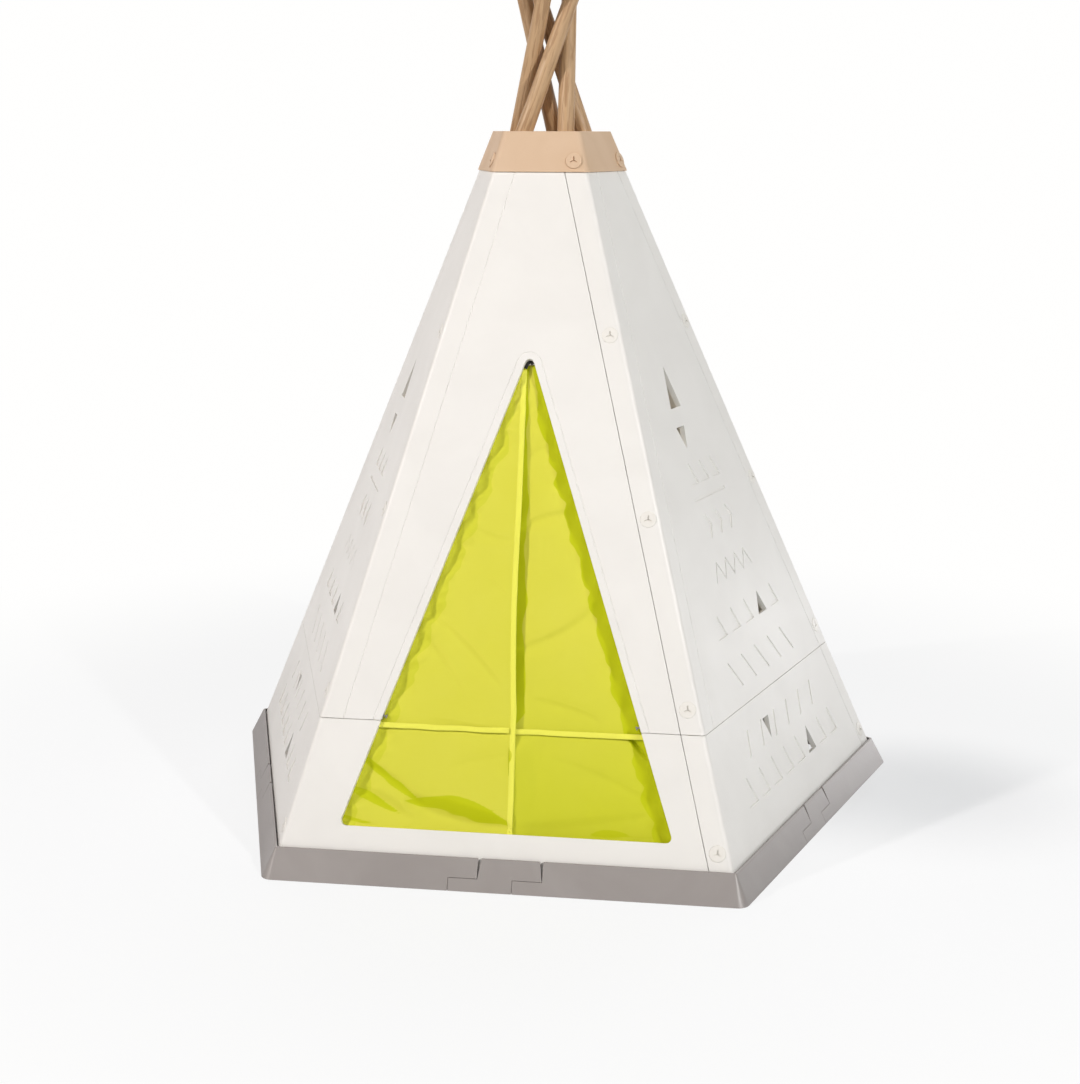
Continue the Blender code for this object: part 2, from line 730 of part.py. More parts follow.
def screw(seat):
    """Screw along its own axis; the seat is the height of its head's underside."""
    top = seat + HEAD_THICKNESS
    crown = HEAD_RADIUS - HEAD_THICKNESS / 2
    profile = [(STEM_RADIUS, -STEM_END), (STEM_RADIUS, seat), (HEAD_RADIUS, seat), (crown, top)]
    upright = Matrix.Identity(4)
    body = turned(profile, SCREW_SIDES, upright)
    recess = prism(slot_star(), -top - OVERRUN, SLOT_DEPTH - top, upright)
    return boolean(body, [recess], "DIFFERENCE")


# Collar and pole tips

def ring(z, depth, radius):
    """Level five-sided outline with rounded corners."""
    points = []
    for side in range(SIDES):
        points += corner_arc(z, apothem(z, depth), radius, PANEL_CORNER_STEPS, side)
    return points


def waist_reach():
    """Centre line to a pole's line at the waist, so that neighbours pass with their gap."""
    chord = 2 * (1 - math.cos(TURN))
    slope = math.sqrt(chord + (POLE_FAN_SHARE * math.sin(TURN)) ** 2)
    return (2 * POLE_RADIUS + POLE_PASS_GAP) * slope / chord


def pole_matrix(corner):
    """Line of the pole that stands at one of the collar's corners."""
    lean = math.atan2(POLE_WAIST * POLE_FAN_SHARE, waist_reach())
    turn = Matrix.Rotation(FRONT - HALF_TURN + corner * TURN + lean, 4, "Z")
    waist = Matrix.Translation((waist_reach(), 0, COLLAR_TOP + POLE_WAIST))
    return turn @ waist @ Matrix.Rotation(-math.atan(POLE_FAN_SHARE), 4, "X")


def pole(slack=0):
    """Pole tip along its own line, whose zero is where the poles pass each other."""
    stretch = math.sqrt(1 + POLE_FAN_SHARE ** 2)
    foot = -(POLE_WAIST + POLE_DROP) * stretch
    tip = (POLE_RISE - POLE_WAIST) * stretch
    profile = [
        (POLE_RADIUS + slack, foot),
        (POLE_RADIUS + slack, -POLE_WAIST / 2),
        (POLE_END_RADIUS + slack, tip - POLE_END_RADIUS / 2),
        (POLE_END_RADIUS / 2 + slack, tip),
    ]
    return turned(profile, POLE_SIDES, Matrix.Identity(4))


def collar():
    inner_radius = PANEL_CORNER + COLLAR_LIP
    outer_radius = inner_radius + COLLAR_WALL
    outer_depth = -COLLAR_LIP - COLLAR_WALL
    body = loft([ring(z, outer_depth, outer_radius) for z in (COLLAR_FOOT, COLLAR_TOP)])
    heights = (COLLAR_FOOT - OVERRUN, COLLAR_TOP - COLLAR_WALL)
    body = boolean(body, [loft([ring(z, -COLLAR_LIP, inner_radius) for z in heights])], "DIFFERENCE")
    cuts = []
    hole = STEM_RADIUS + STEM_CLEARANCE
    for corner in range(SIDES):
        spot = screw_matrix(COLLAR_SCREW_HEIGHT, corner)
        cuts.append(turned([(hole, -WALL), (hole, COLLAR_WALL + OVERRUN)], SCREW_SIDES, spot))
        socket = pole(STEM_CLEARANCE)
        socket.transform(pole_matrix(corner))
        cuts.append(socket)
    return boolean(body, cuts, "DIFFERENCE")


# Door curtain

LEFT = -1
RIGHT = 1
FOLD_DEPTH = RIM_DEPTH + FIT_GAP + BEAD_RADIUS
CURTAIN_FOOT = DOOR_SILL - CURTAIN_DROP
CURTAIN_HEADS = {LEFT: DOOR_PEAK - LEFT_HEAD_DROP, RIGHT: DOOR_PEAK - RIGHT_HEAD_DROP}
EDGE_LIFTS = {LEFT: EDGE_LIFT, RIGHT: 0}
STRAP_LOW = SEAM - STRAP_DROP - STRAP_WIDTH / 2
STRAP_HIGH = STRAP_LOW + STRAP_WIDTH

# Folds as shares: (across from the fold line, up) at both ends, then depth as a share of the sag
FOLD_SHARES = {
    LEFT: (
        (0.06, 0.46, 0.73, 0.33, 0.50),
        (0.14, 0.63, 0.83, 0.61, 0.35),
        (0.02, 0.15, 0.43, 0.08, 0.80),
        (0.43, 0.08, 0.90, 0.06, 0.80),
        (0.05, 0.30, 0.55, 0.22, 0.30),
    ),
    RIGHT: (
        (0.84, 0.40, 0.26, 0.49, 0.55),
        (0.87, 0.66, 0.23, 0.67, 0.35),
        (0.75, 0.29, 0.30, 0.25, 0.30),
        (0.90, 0.05, 0.20, 0.03, 0.55),
        (0.70, 0.18, 0.15, 0.10, 0.40),
    ),
}


def fold_line(distance):
    """Distance of a fold line from the door's middle."""
    return door_half(distance) + HINGE_SETBACK / DOOR_EDGE.y


def free_start(distance):
    """Where the moving part of the curtain begins, beside the piping."""
    return fold_line(distance) - (BEAD_RADIUS + FIT_GAP) / DOOR_EDGE.y


def split_line(distance):
    """Where the curtain's halves meet, right of the door's middle."""
    share = (distance - CURTAIN_FOOT) / (DOOR_PEAK - CURTAIN_FOOT)
    return SPLIT_FOOT * (1 - share) + SPLIT_HEAD * share


def flap_width(hand, distance):
    return free_start(distance) - hand * split_line(distance) - MIDDLE_GAP / 2


def ease(share):
    share = min(max(share, 0), 1)
    return share * share * (3 - 2 * share)


def segment_distance(point, start, end):
    span = end - start
    share = min(max((point - start).dot(span) / span.length_squared, 0), 1)
    return (point - start - span * share).length


def flap_depth(hand, across, distance):
    """Depth of the cloth's middle below the wall's outer surface."""
    width = flap_width(hand, distance)
    inset = across * width * DOOR_EDGE.y
    held = ease(inset / SAG_RUN)
    lift = EDGE_LIFTS[hand] * ease(1 - (width - across * width) / EDGE_RUN)
    swell = math.cos(math.pi * distance / PUCKER_PITCH) ** 2
    depth = FOLD_DEPTH + (SAG - lift) * held
    depth += PUCKER_DEPTH * swell * held * math.exp(-(inset / PUCKER_RUN) ** 2)
    rise = CURTAIN_HEADS[hand] - CURTAIN_FOOT
    here = Vector((across * width, distance))
    for start_across, start_up, end_across, end_up, depth_share in FOLD_SHARES[hand]:
        start = Vector((start_across * width, CURTAIN_FOOT + start_up * rise))
        end = Vector((end_across * width, CURTAIN_FOOT + end_up * rise))
        near = segment_distance(here, start, end) / FOLD_WIDTH
        depth += SAG * depth_share * held * math.exp(-near * near)
    return depth


def flap_rows(hand):
    step = (CURTAIN_HEADS[hand] - CURTAIN_FOOT) / FLAP_ROWS
    rows = [CURTAIN_FOOT + step * i for i in range(FLAP_ROWS + 1)]
    rows = [row for row in rows if abs(row - STRAP_LOW - STRAP_WIDTH / 2) > STRAP_WIDTH]
    return sorted(rows + [STRAP_LOW, STRAP_HIGH])


def cloth_sheet(hand, rows, columns, outward, thickness):
    """Closed sheet on the curtain's surface, moved outward by a distance."""
    front = []
    for distance in rows:
        line = []
        for across in columns:
            x = hand * (free_start(distance) - across * flap_width(hand, distance))
            line.append((x, distance, flap_depth(hand, across, distance) - outward))
        front.append(line)
    bm = bmesh.new()
    layers = []
    for offset in (-thickness / 2, thickness / 2):
        layers.append([[bm.verts.new(FRAME @ Vector((x, y, -depth - offset))) for x, y, depth in line]
                       for line in front])
    last_row = len(rows) - 1
    last_column = len(columns) - 1
    for grid in layers:
        for i in range(last_row):
            for j in range(last_column):
                bm.faces.new((grid[i][j], grid[i][j + 1], grid[i + 1][j + 1], grid[i + 1][j]))
    back, face = layers
    for i in range(last_row):
        for j in (0, last_column):
            bm.faces.new((back[i][j], back[i + 1][j], face[i + 1][j], face[i][j]))
    for j in range(last_column):
        for i in (0, last_row):
            bm.faces.new((back[i][j], back[i][j + 1], face[i][j + 1], face[i][j]))
    bm.normal_update()
    bmesh.ops.triangulate(bm, faces=bm.faces)
    return mesh_from(bm, "cloth")


def flap(hand):
    columns = [j / FLAP_COLUMNS for j in range(FLAP_COLUMNS + 1)]
    return cloth_sheet(hand, flap_rows(hand), columns, 0, CLOTH)


def strap(hand):
    first = STRAP_START / flap_width(hand, STRAP_LOW)
    inner = [j / FLAP_COLUMNS for j in range(1, FLAP_COLUMNS + 1)]
    columns = [first] + [share for share in inner if share > first]
    outward = (CLOTH + STRAP_THICKNESS) / 2 + STRAP_GAP
    return cloth_sheet(hand, (STRAP_LOW, STRAP_HIGH), columns, outward, STRAP_THICKNESS)


def hem(hand):
    """Fixed edge of the curtain: a flat hem with piping on the fold line."""
    half = CLOTH / 2
    first = math.asin(half / BEAD_RADIUS)
    outline = [(HEM_WIDTH, half), (HEM_WIDTH, -half)]
    for step in range(BEAD_STEPS + 1):
        angle = -first - (2 * math.pi - 2 * first) * step / BEAD_STEPS
        outline.append((BEAD_RADIUS * math.cos(angle), BEAD_RADIUS * math.sin(angle)))
    sections = []
    for distance in (CURTAIN_FOOT, CURTAIN_HEADS[hand]):
        section = []
        for beyond, deeper in outline:
            x = hand * (fold_line(distance) + beyond / DOOR_EDGE.y)
            section.append(FRAME @ Vector((x, distance, -FOLD_DEPTH - deeper)))
        sections.append(section)
    return loft(sections)


def peg(hand):
    """Peg on the door's edge that the strap buttons onto."""
    distance = SEAM + PEG_RISE
    inward = Vector((-hand * DOOR_EDGE.y, -DOOR_EDGE.x, 0))
    upward = Vector((-hand * DOOR_EDGE.x, DOOR_EDGE.y, 0))
    axes = Matrix((upward, inward.cross(upward), inward)).transposed().to_4x4()
    spot = Matrix.Translation((hand * door_half(distance), distance, -PEG_DEPTH)) @ axes
    neck = PEG_LENGTH - PEG_HEAD_LENGTH
    profile = [(PEG_RADIUS, FIT_GAP), (PEG_RADIUS, neck)]
    profile += [(PEG_HEAD_RADIUS, neck), (PEG_HEAD_RADIUS, PEG_LENGTH)]
    return turned(profile, PEG_SIDES, FRAME @ spot)


def fold_origin(hand):
    """Foot of a fold line, where the flap's own origin lies."""
    return FRAME @ Vector((hand * fold_line(CURTAIN_FOOT), CURTAIN_FOOT, -FOLD_DEPTH))


# Assembly

def build_rail():
    link = rail_link()
    corner = rail_corner()
    for side, label in enumerate(PLACES):
        place(f"base_connector_{label}", link.copy(), GREY, turned_side(side))
        place(f"base_corner_{label}", corner.copy(), GREY, turned_side(side))


def build_walls():
    place("lower_panel_front", front_lower_panel(), WHITE)
    place("upper_panel_front", front_upper_panel(), WHITE)
    lower = lower_panel()
    upper = upper_panel()
    for side, label in enumerate(PLACES[1:], 1):
        place(f"lower_panel_{label}", lower.copy(), WHITE, turned_side(side))
        place(f"upper_panel_{label}", upper.copy(), WHITE, turned_side(side))


def build_screws():
    panel_screw = screw(FIT_GAP - SEAT_DEPTH)
    collar_screw = screw(COLLAR_WALL + COLLAR_LIP + FIT_GAP)
    for side, label in enumerate(PLACES):
        for number, height in enumerate(SCREW_HEIGHTS, 1):
            matrix = screw_matrix(height, side)
            place(f"screw_{label}_{number}", panel_screw.copy(), SCREW_WHITE, matrix, SOFT_EDGE)
        matrix = screw_matrix(COLLAR_SCREW_HEIGHT, side)
        place(f"collar_screw_{label}", collar_screw.copy(), BEIGE, matrix, SOFT_EDGE)


def build_top():
    place("collar", collar(), BEIGE)
    tip = pole()
    for corner, label in enumerate(PLACES):
        place(f"pole_tip_{label}", tip.copy(), POLE, pole_matrix(corner), SOFT_EDGE)


def build_curtain():
    for hand, label in ((LEFT, "left"), (RIGHT, "right")):
        place(f"curtain_hem_{label}", hem(hand), LIME, smooth=SOFT_EDGE)
        place(f"strap_peg_{label}", peg(hand), PEG, smooth=SOFT_EDGE)
        origin = fold_origin(hand)
        moving = (("curtain_flap", flap(hand), LIME), ("tie_strap", strap(hand), BINDING))
        for name, mesh, material in moving:
            mesh.transform(Matrix.Translation(-origin))
            place(f"{name}_{label}", mesh, material, Matrix.Translation(origin), SOFT_EDGE)


build_rail()
build_walls()
build_screws()
build_top()
build_curtain()
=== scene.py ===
"""Looks of a five-sided play teepee: moulded panels on a base rail, collar, pole tips, door curtain."""
import json
import math

import bmesh
import bpy
import numpy as np
from mathutils import Matrix, Vector, noise

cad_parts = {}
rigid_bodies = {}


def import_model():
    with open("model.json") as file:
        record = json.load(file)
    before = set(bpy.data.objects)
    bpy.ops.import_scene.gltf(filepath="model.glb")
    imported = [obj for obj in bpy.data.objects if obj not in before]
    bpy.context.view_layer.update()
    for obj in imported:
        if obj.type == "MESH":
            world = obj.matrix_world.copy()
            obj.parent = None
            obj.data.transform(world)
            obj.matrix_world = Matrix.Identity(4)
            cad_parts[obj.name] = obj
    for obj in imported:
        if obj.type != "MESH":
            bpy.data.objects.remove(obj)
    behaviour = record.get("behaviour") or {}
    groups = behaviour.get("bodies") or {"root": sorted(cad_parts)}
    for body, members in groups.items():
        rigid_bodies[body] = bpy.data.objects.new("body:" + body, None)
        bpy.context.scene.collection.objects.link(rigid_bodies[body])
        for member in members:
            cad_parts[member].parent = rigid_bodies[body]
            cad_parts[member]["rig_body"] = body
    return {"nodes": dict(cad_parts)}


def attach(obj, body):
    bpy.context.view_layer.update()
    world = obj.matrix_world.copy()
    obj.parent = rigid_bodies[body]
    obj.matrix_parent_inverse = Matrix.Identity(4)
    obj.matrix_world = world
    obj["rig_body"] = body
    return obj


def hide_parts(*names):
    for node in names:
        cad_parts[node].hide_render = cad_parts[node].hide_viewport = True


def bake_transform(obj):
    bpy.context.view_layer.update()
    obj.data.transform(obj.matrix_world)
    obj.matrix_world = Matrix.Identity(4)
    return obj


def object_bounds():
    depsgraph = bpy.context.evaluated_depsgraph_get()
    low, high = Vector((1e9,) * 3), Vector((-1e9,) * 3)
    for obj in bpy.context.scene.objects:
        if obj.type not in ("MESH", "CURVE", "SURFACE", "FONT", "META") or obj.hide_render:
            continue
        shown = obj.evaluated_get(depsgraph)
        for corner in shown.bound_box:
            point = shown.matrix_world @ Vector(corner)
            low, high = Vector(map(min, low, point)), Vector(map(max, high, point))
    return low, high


for leftover in list(bpy.data.objects):
    bpy.data.objects.remove(leftover)

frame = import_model()
cad_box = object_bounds()


# Camera
# It stands on a tripod a little to the right of the door, looks slightly down, and its pivot is
# the point where the teepee's centre line meets the base rail's top.

SIDES = 5
HALF_TURN = math.pi / SIDES
FOOT_REACH = 0.695            # centre line to a rail corner on the floor
RAIL_HEIGHT = 0.050
LENS = 61.245                 # on a 36 mm sensor
CAMERA_AZIMUTH = math.radians(8.205)
CAMERA_ELEVATION = math.radians(12.523)
CAMERA_ROLL = math.radians(0.176)
CAMERA_DISTANCE = 3.5995
CAMERA_ASIDE = -0.01305
CAMERA_RISE = 0.41632

CENTRE = Vector((0, cad_box[0][1] + FOOT_REACH * math.cos(HALF_TURN), 0))
RAIL_CENTRE = CENTRE + Vector((0, 0, RAIL_HEIGHT))

camera = bpy.data.objects.new("camera", bpy.data.cameras.new("camera"))
camera.data.lens = LENS
camera_turn = Matrix.Rotation(CAMERA_AZIMUTH, 4, "Z")
camera_turn @= Matrix.Rotation(math.pi / 2 - CAMERA_ELEVATION, 4, "X")
camera_turn @= Matrix.Rotation(CAMERA_ROLL, 4, "Z")
camera_place = Matrix.Translation((CAMERA_ASIDE, CAMERA_RISE, CAMERA_DISTANCE))
camera.matrix_world = Matrix.Translation(RAIL_CENTRE) @ camera_turn @ camera_place
bpy.context.scene.collection.objects.link(camera)
bpy.context.scene.camera = camera
bpy.context.scene.view_settings.view_transform = "Standard"


# Studio
# A wide white floor that fades into its backdrop, a large soft light in front and one behind, and
# a smaller lamp on each side, which throws a narrow shadow past the door's edges onto the cloth.

FLOOR_REACH = 30
FLOOR_SIDES = 64
FLOOR_WHITE = (0.835, 0.860, 0.890, 1)
FLOOR_FIBRE = (0.780, 0.800, 0.830, 1)
FLOOR_FIBRE_SHARE = 0.06
FLOOR_GLOW = (1, 1, 1, 1)
FLOOR_GLOW_SHARE = 0.81       # near the teepee, so that its shadow stays
SHADE_SPOT = (0.73, -0.03, 0)  # beside the right rail, where less glow leaves a darker shadow
SHADE_START = 0.05
SHADE_END = 0.42
SHADE_LOSS = 0.42
FLOOR_FADE_START = 0.9
FLOOR_FADE_END = 2.1
STUDIO_WHITE = (1, 0.997, 0.990, 1)
WORLD_LIGHT = 0.10
LAMP_TARGET = Vector((0, 0, 0.55))
LAMPS = {                     # azimuth from the door, elevation, distance, size, watts, colour
    "front_softbox": (-6, 30, 6.7, 3.8, 18, (1, 0.985, 0.965)),
    "right_lamp": (45, 31, 6.4, 0.20, 189, (1, 0.985, 0.965)),
    "left_lamp": (-50, 32, 6.4, 0.26, 193, (1, 0.925, 0.885)),
    "rear_softbox": (178, 48, 6.7, 3.8, 140, (1, 0.985, 0.97)),
    "right_card": (131.5, -4, 3.48, 0.5, 6.5, (1, 0.98, 1)),
}
CABIN_GLOW = (1.0, 0.10, (1, 0.89, 0.79))     # watts, radius, colour
CABIN_GLOW_HEIGHT = 0.95


class Wire:
    """A value in a material: arithmetic on it adds Math nodes."""

    def __init__(self, finish, socket):
        self.finish = finish
        self.socket = socket

    def math(self, operation, first, second):
        return self.finish.node("Math", {"operation": operation}, {0: first, 1: second})

    def __add__(self, other):
        return self.math("ADD", self, other)

    def __sub__(self, other):
        return self.math("SUBTRACT", self, other)

    def __rsub__(self, other):
        return self.math("SUBTRACT", other, self)

    def __mul__(self, other):
        return self.math("MULTIPLY", self, other)

    __radd__ = __add__
    __rmul__ = __mul__


class Finish:
    """The nodes of a material or of the world, written as expressions."""

    def __init__(self, owner):
        owner.use_nodes = True
        self.owner = owner
        self.tree = owner.node_tree
        self.tree.nodes.clear()

    def node(self, kind, settings, sockets, output=0):
        """One node: its settings first, then the values or links of its sockets."""
        node = self.tree.nodes.new("ShaderNode" + kind)
        for name, value in settings.items():
            setattr(node, name, value)
        for name, value in sockets.items():
            if isinstance(value, Wire):
                self.tree.links.new(value.socket, node.inputs[name])
            else:
                node.inputs[name].default_value = value
        return Wire(self, node.outputs[output]) if node.outputs else node

    def mix(self, share, first, second):
        """Colour between two colours."""
        return self.node("Mix", {"data_type": "RGBA"}, {"Factor": share, 6: first, 7: second}, 2)

    def stretch(self, vector, scale):
        """Texture place with its own scale on each axis."""
        return self.node("VectorMath", {"operation": "MULTIPLY"}, {0: vector, 1: scale})

    def band(self, value, start, end):
        """Smooth step from 0 to 1 between two values."""
        settings = {"interpolation_type": "SMOOTHSTEP"}
        return self.node("MapRange", settings, {"Value": value, "From Min": start, "From Max": end})

    def seen(self):
        """1 for what the camera sees directly, in a reflection or through glass."""
        rays = [self.node("LightPath", {}, {}, f"Is {kind} Ray") for kind in
                ("Camera", "Glossy", "Transmission")]
        return rays[0] + rays[1] + rays[2]


def floor_finish():
    """White paper that glows where the camera looks, and fully so some way off."""
    paper = Finish(bpy.data.materials.new("studio_floor"))
    place = paper.node("TexCoord", {}, {}, "Object")
    fibre = paper.node("TexNoise", {}, {"Vector": place, "Scale": 40, "Detail": 4})
    matt = paper.node("BsdfPrincipled", {}, {
        "Base Color": paper.mix(fibre * FLOOR_FIBRE_SHARE, FLOOR_WHITE, FLOOR_FIBRE),
        "Roughness": 0.9,
        "Specular IOR Level": 0.2,
    })
    away = paper.node("VectorMath", {"operation": "LENGTH"}, {0: place}, "Value")
    far = paper.band(away, FLOOR_FADE_START, FLOOR_FADE_END)
    glow = paper.node("Emission", {}, {"Color": paper.mix(far, FLOOR_GLOW, STUDIO_WHITE), "Strength": 1})
    direct = paper.node("LightPath", {}, {}, "Is Camera Ray")
    aside = paper.node("VectorMath", {"operation": "DISTANCE"}, {0: place, 1: SHADE_SPOT}, "Value")
    near = FLOOR_GLOW_SHARE - (1 - paper.band(aside, SHADE_START, SHADE_END)) * SHADE_LOSS
    share = direct * near * (1 - far) + paper.seen() * far
    surface = paper.node("MixShader", {}, {0: share, 1: matt, 2: glow})
    paper.node("OutputMaterial", {}, {"Surface": surface})
    return paper.owner


def light_world():
    """Weak light from all round, and plain white wherever the camera sees past the floor."""
    world = bpy.data.worlds.new("studio")
    bpy.context.scene.world = world
    air = Finish(world)
    strength = air.seen() * (1 - WORLD_LIGHT) + WORLD_LIGHT
    light = air.node("Background", {}, {"Color": STUDIO_WHITE, "Strength": strength})
    air.node("OutputWorld", {}, {"Surface": light})


def add_lamp(name, azimuth, elevation, distance, size, power, colour):
    """Square lamp, turned to a point inside the teepee."""
    lamp = bpy.data.objects.new(name, bpy.data.lights.new(name, "AREA"))
    lamp.data.size = size
    lamp.data.energy = power
    lamp.data.color = colour
    azimuth = math.radians(azimuth)
    elevation = math.radians(elevation)
    level = math.cos(elevation)
    towards = Vector((math.sin(azimuth) * level, -math.cos(azimuth) * level, math.sin(elevation)))
    lamp.location = LAMP_TARGET + towards * distance
    lamp.rotation_euler = towards.to_track_quat("Z", "Y").to_euler()
    bpy.context.scene.collection.objects.link(lamp)


def add_cabin_glow(power, radius, colour):
    """Daylight that the thin white walls let through, as one weak lamp inside the cabin."""
    lamp = bpy.data.objects.new("cabin_glow", bpy.data.lights.new("cabin_glow", "POINT"))
    lamp.data.energy = power
    lamp.data.shadow_soft_size = radius
    lamp.data.color = colour
    lamp.location = CENTRE + Vector((0, 0, CABIN_GLOW_HEIGHT))
    bpy.context.scene.collection.objects.link(lamp)


bm = bmesh.new()
bmesh.ops.create_circle(bm, cap_ends=True, segments=FLOOR_SIDES, radius=FLOOR_REACH)
floor_mesh = bpy.data.meshes.new("floor")
bm.to_mesh(floor_mesh)
bm.free()
floor_mesh.materials.append(floor_finish())
floor = bpy.data.objects.new("floor", floor_mesh)
bpy.context.scene.collection.objects.link(floor)
light_world()
for name, values in LAMPS.items():
    add_lamp(name, *values)
card = bpy.data.objects["right_card"]         # shows only as a sheen on the right rail
card.visible_diffuse = False
card.visible_camera = False
add_cabin_glow(*CABIN_GLOW)


# Base rail
# Five corner pieces and five connectors, injection moulded in grey plastic with a fine grain.
# They push together end to end and the wall panels stand in them.

PLACES = ("front", "right", "rear_right", "rear_left", "left")
RAIL_GREY = (0.262, 0.236, 0.224, 1)
RAIL_PALE = (0.310, 0.284, 0.272, 1)
RAIL_ROUNDING = 0.0007
WELD = 0.00003                # corners closer than this are one corner
FLAT_ANGLE = math.radians(0.5)    # faces flatter than this are one face
EDGE_ANGLE = math.radians(30)     # and steeper than this they meet in an edge
FLOW_BAND = (0.25, 0.80)      # a "band" is where a noise fades from one look to another
FLOW_HEIGHT = 0.4
FLOW_ROUGHNESS = 0.12
STREAK_STRETCH = (60, 60, 9)
MARK_BAND = (0.62, 0.74)
MARK_SHARE = 0.25
MARK_ROUGHNESS = 0.08


def moulded(node, name, rounding, material, segments=2):
    """Copy of a CAD node with the small edge radii of a moulded part, shown in its place."""
    source = frame["nodes"][node]
    bm = bmesh.new()
    bm.from_mesh(source.data)
    bmesh.ops.remove_doubles(bm, verts=bm.verts, dist=WELD)
    bmesh.ops.dissolve_limit(bm, angle_limit=FLAT_ANGLE, verts=bm.verts, edges=bm.edges)
    bmesh.ops.triangulate(bm, faces=[face for face in bm.faces if len(face.verts) > 4])
    edges = [edge for edge in bm.edges if edge.calc_face_angle() > EDGE_ANGLE]
    bmesh.ops.bevel(bm, geom=edges, offset=rounding, segments=segments, profile=0.5, affect="EDGES")
    mesh = bpy.data.meshes.new(name)
    bm.to_mesh(mesh)
    bm.free()
    mesh.shade_smooth()
    mesh.materials.append(material)
    piece = bpy.data.objects.new(name, mesh)
    bpy.context.scene.collection.objects.link(piece)
    piece.modifiers.new("even_shading", "WEIGHTED_NORMAL")
    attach(piece, source["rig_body"])
    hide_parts(node)
    return piece


def moulded_plastic(name, colour, second, grain, depth, roughness, gloss=0.45):
    """Plastic with the mould's spark grain, a faint flow pattern and a few handling marks."""
    plastic = Finish(bpy.data.materials.new(name))
    place = plastic.node("TexCoord", {}, {}, "Object")
    pits = plastic.node("TexNoise", {}, {"Vector": place, "Scale": grain, "Detail": 3})
    flow = plastic.node("TexNoise", {}, {"Vector": place, "Scale": 7, "Detail": 5, "Distortion": 0.6})
    streak_place = plastic.stretch(place, STREAK_STRETCH)
    streaks = plastic.node("TexNoise", {}, {"Vector": streak_place, "Scale": 4, "Detail": 6})
    marks = plastic.band(streaks, *MARK_BAND)
    tint = plastic.mix(plastic.band(flow, *FLOW_BAND), colour, second)
    tint = plastic.mix(marks * MARK_SHARE, tint, second)
    height = pits + flow * FLOW_HEIGHT
    bump = plastic.node("Bump", {}, {"Height": height, "Strength": 0.35, "Distance": depth})
    shader = plastic.node("BsdfPrincipled", {}, {
        "Base Color": tint,
        "Roughness": roughness + flow * FLOW_ROUGHNESS + marks * MARK_ROUGHNESS,
        "Specular IOR Level": gloss,
        "Normal": bump,
    })
    plastic.node("OutputMaterial", {}, {"Surface": shader})
    return plastic.owner


rail_plastic = moulded_plastic("rail_plastic", RAIL_GREY, RAIL_PALE, grain=900, depth=0.0004,
                               roughness=0.30, gloss=0.85)
for label in PLACES:
    moulded(f"base_corner_{label}", f"rail_corner_{label}", RAIL_ROUNDING, rail_plastic)
    moulded(f"base_connector_{label}", f"rail_link_{label}", RAIL_ROUNDING, rail_plastic)


# Wall panels
# Ten thin white plastic mouldings, a lower and an upper one on each side. Each has a flange that
# wraps round the corner over its neighbour, recessed rows, and windows with a rim behind them.

PANEL_WHITE = (0.880, 0.868, 0.836, 1)
PANEL_CREAM = (0.840, 0.828, 0.796, 1)
PANEL_ROUNDING = 0.0004

panel_plastic = moulded_plastic("panel_plastic", PANEL_WHITE, PANEL_CREAM, grain=1100, depth=0.00025,
                                roughness=0.36)
for label in PLACES:
    moulded(f"lower_panel_{label}", f"lower_wall_{label}", PANEL_ROUNDING, panel_plastic)
    moulded(f"upper_panel_{label}", f"upper_wall_{label}", PANEL_ROUNDING, panel_plastic)


# Flange screws
# White plastic screws with a wide crowned head and a three-armed recess for a toy driver. Four
# hold each corner's flange to the tongue behind it.

HEAD_RADIUS = 0.0140
HEAD_THICKNESS = 0.0026
HEAD_CROWN = 0.0004
HEAD_EDGE = 0.0006
STEM_RADIUS = 0.0045
STEM_LENGTH = 0.0144
HEAD_STEPS = 4
CROWN_SHARES = (0.75, 0.5, 0.3)
SLOT_ARMS = 3
ARM_STEPS = 6
SLOT_REACH = 0.0072
SLOT_WIDTH = 0.0024
SLOT_DEPTH = 0.0024
SCREW_SIDES = 40
SCREW_EDGE_ANGLE = math.radians(32)
SCREW_WHITE = (0.87, 0.85, 0.80, 1)
SCREW_CREAM = (0.82, 0.80, 0.75, 1)
SCREWS_A_CORNER = 4
WALL_REACH = 0.655            # centre line to a wall corner at the rail's top
TOP_REACH = 0.1438            # and at the collar's lower edge
WALL_HEIGHT = 1.119
LEAN = math.atan((WALL_REACH - TOP_REACH) * math.cos(HALF_TURN) / WALL_HEIGHT)


def wall_frame(side):
    """Matrix from (right, up the wall, out of the wall) to space, for one side of the teepee."""
    right = Vector((1, 0, 0))
    upward = Vector((0, math.sin(LEAN), math.cos(LEAN)))
    outward = Vector((0, -math.cos(LEAN), math.sin(LEAN)))
    foot = Matrix.Translation((0, -WALL_REACH * math.cos(HALF_TURN), RAIL_HEIGHT))
    axes = Matrix((right, upward, outward)).transposed().to_4x4()
    turn = Matrix.Rotation(side * 2 * HALF_TURN, 4, "Z")
    return Matrix.Translation(CENTRE) @ turn @ foot @ axes


def new_piece(name, mesh, material):
    """Visible piece from a mesh and one material."""
    mesh.materials.clear()
    mesh.materials.append(material)
    piece = bpy.data.objects.new(name, mesh)
    bpy.context.scene.collection.objects.link(piece)
    return piece


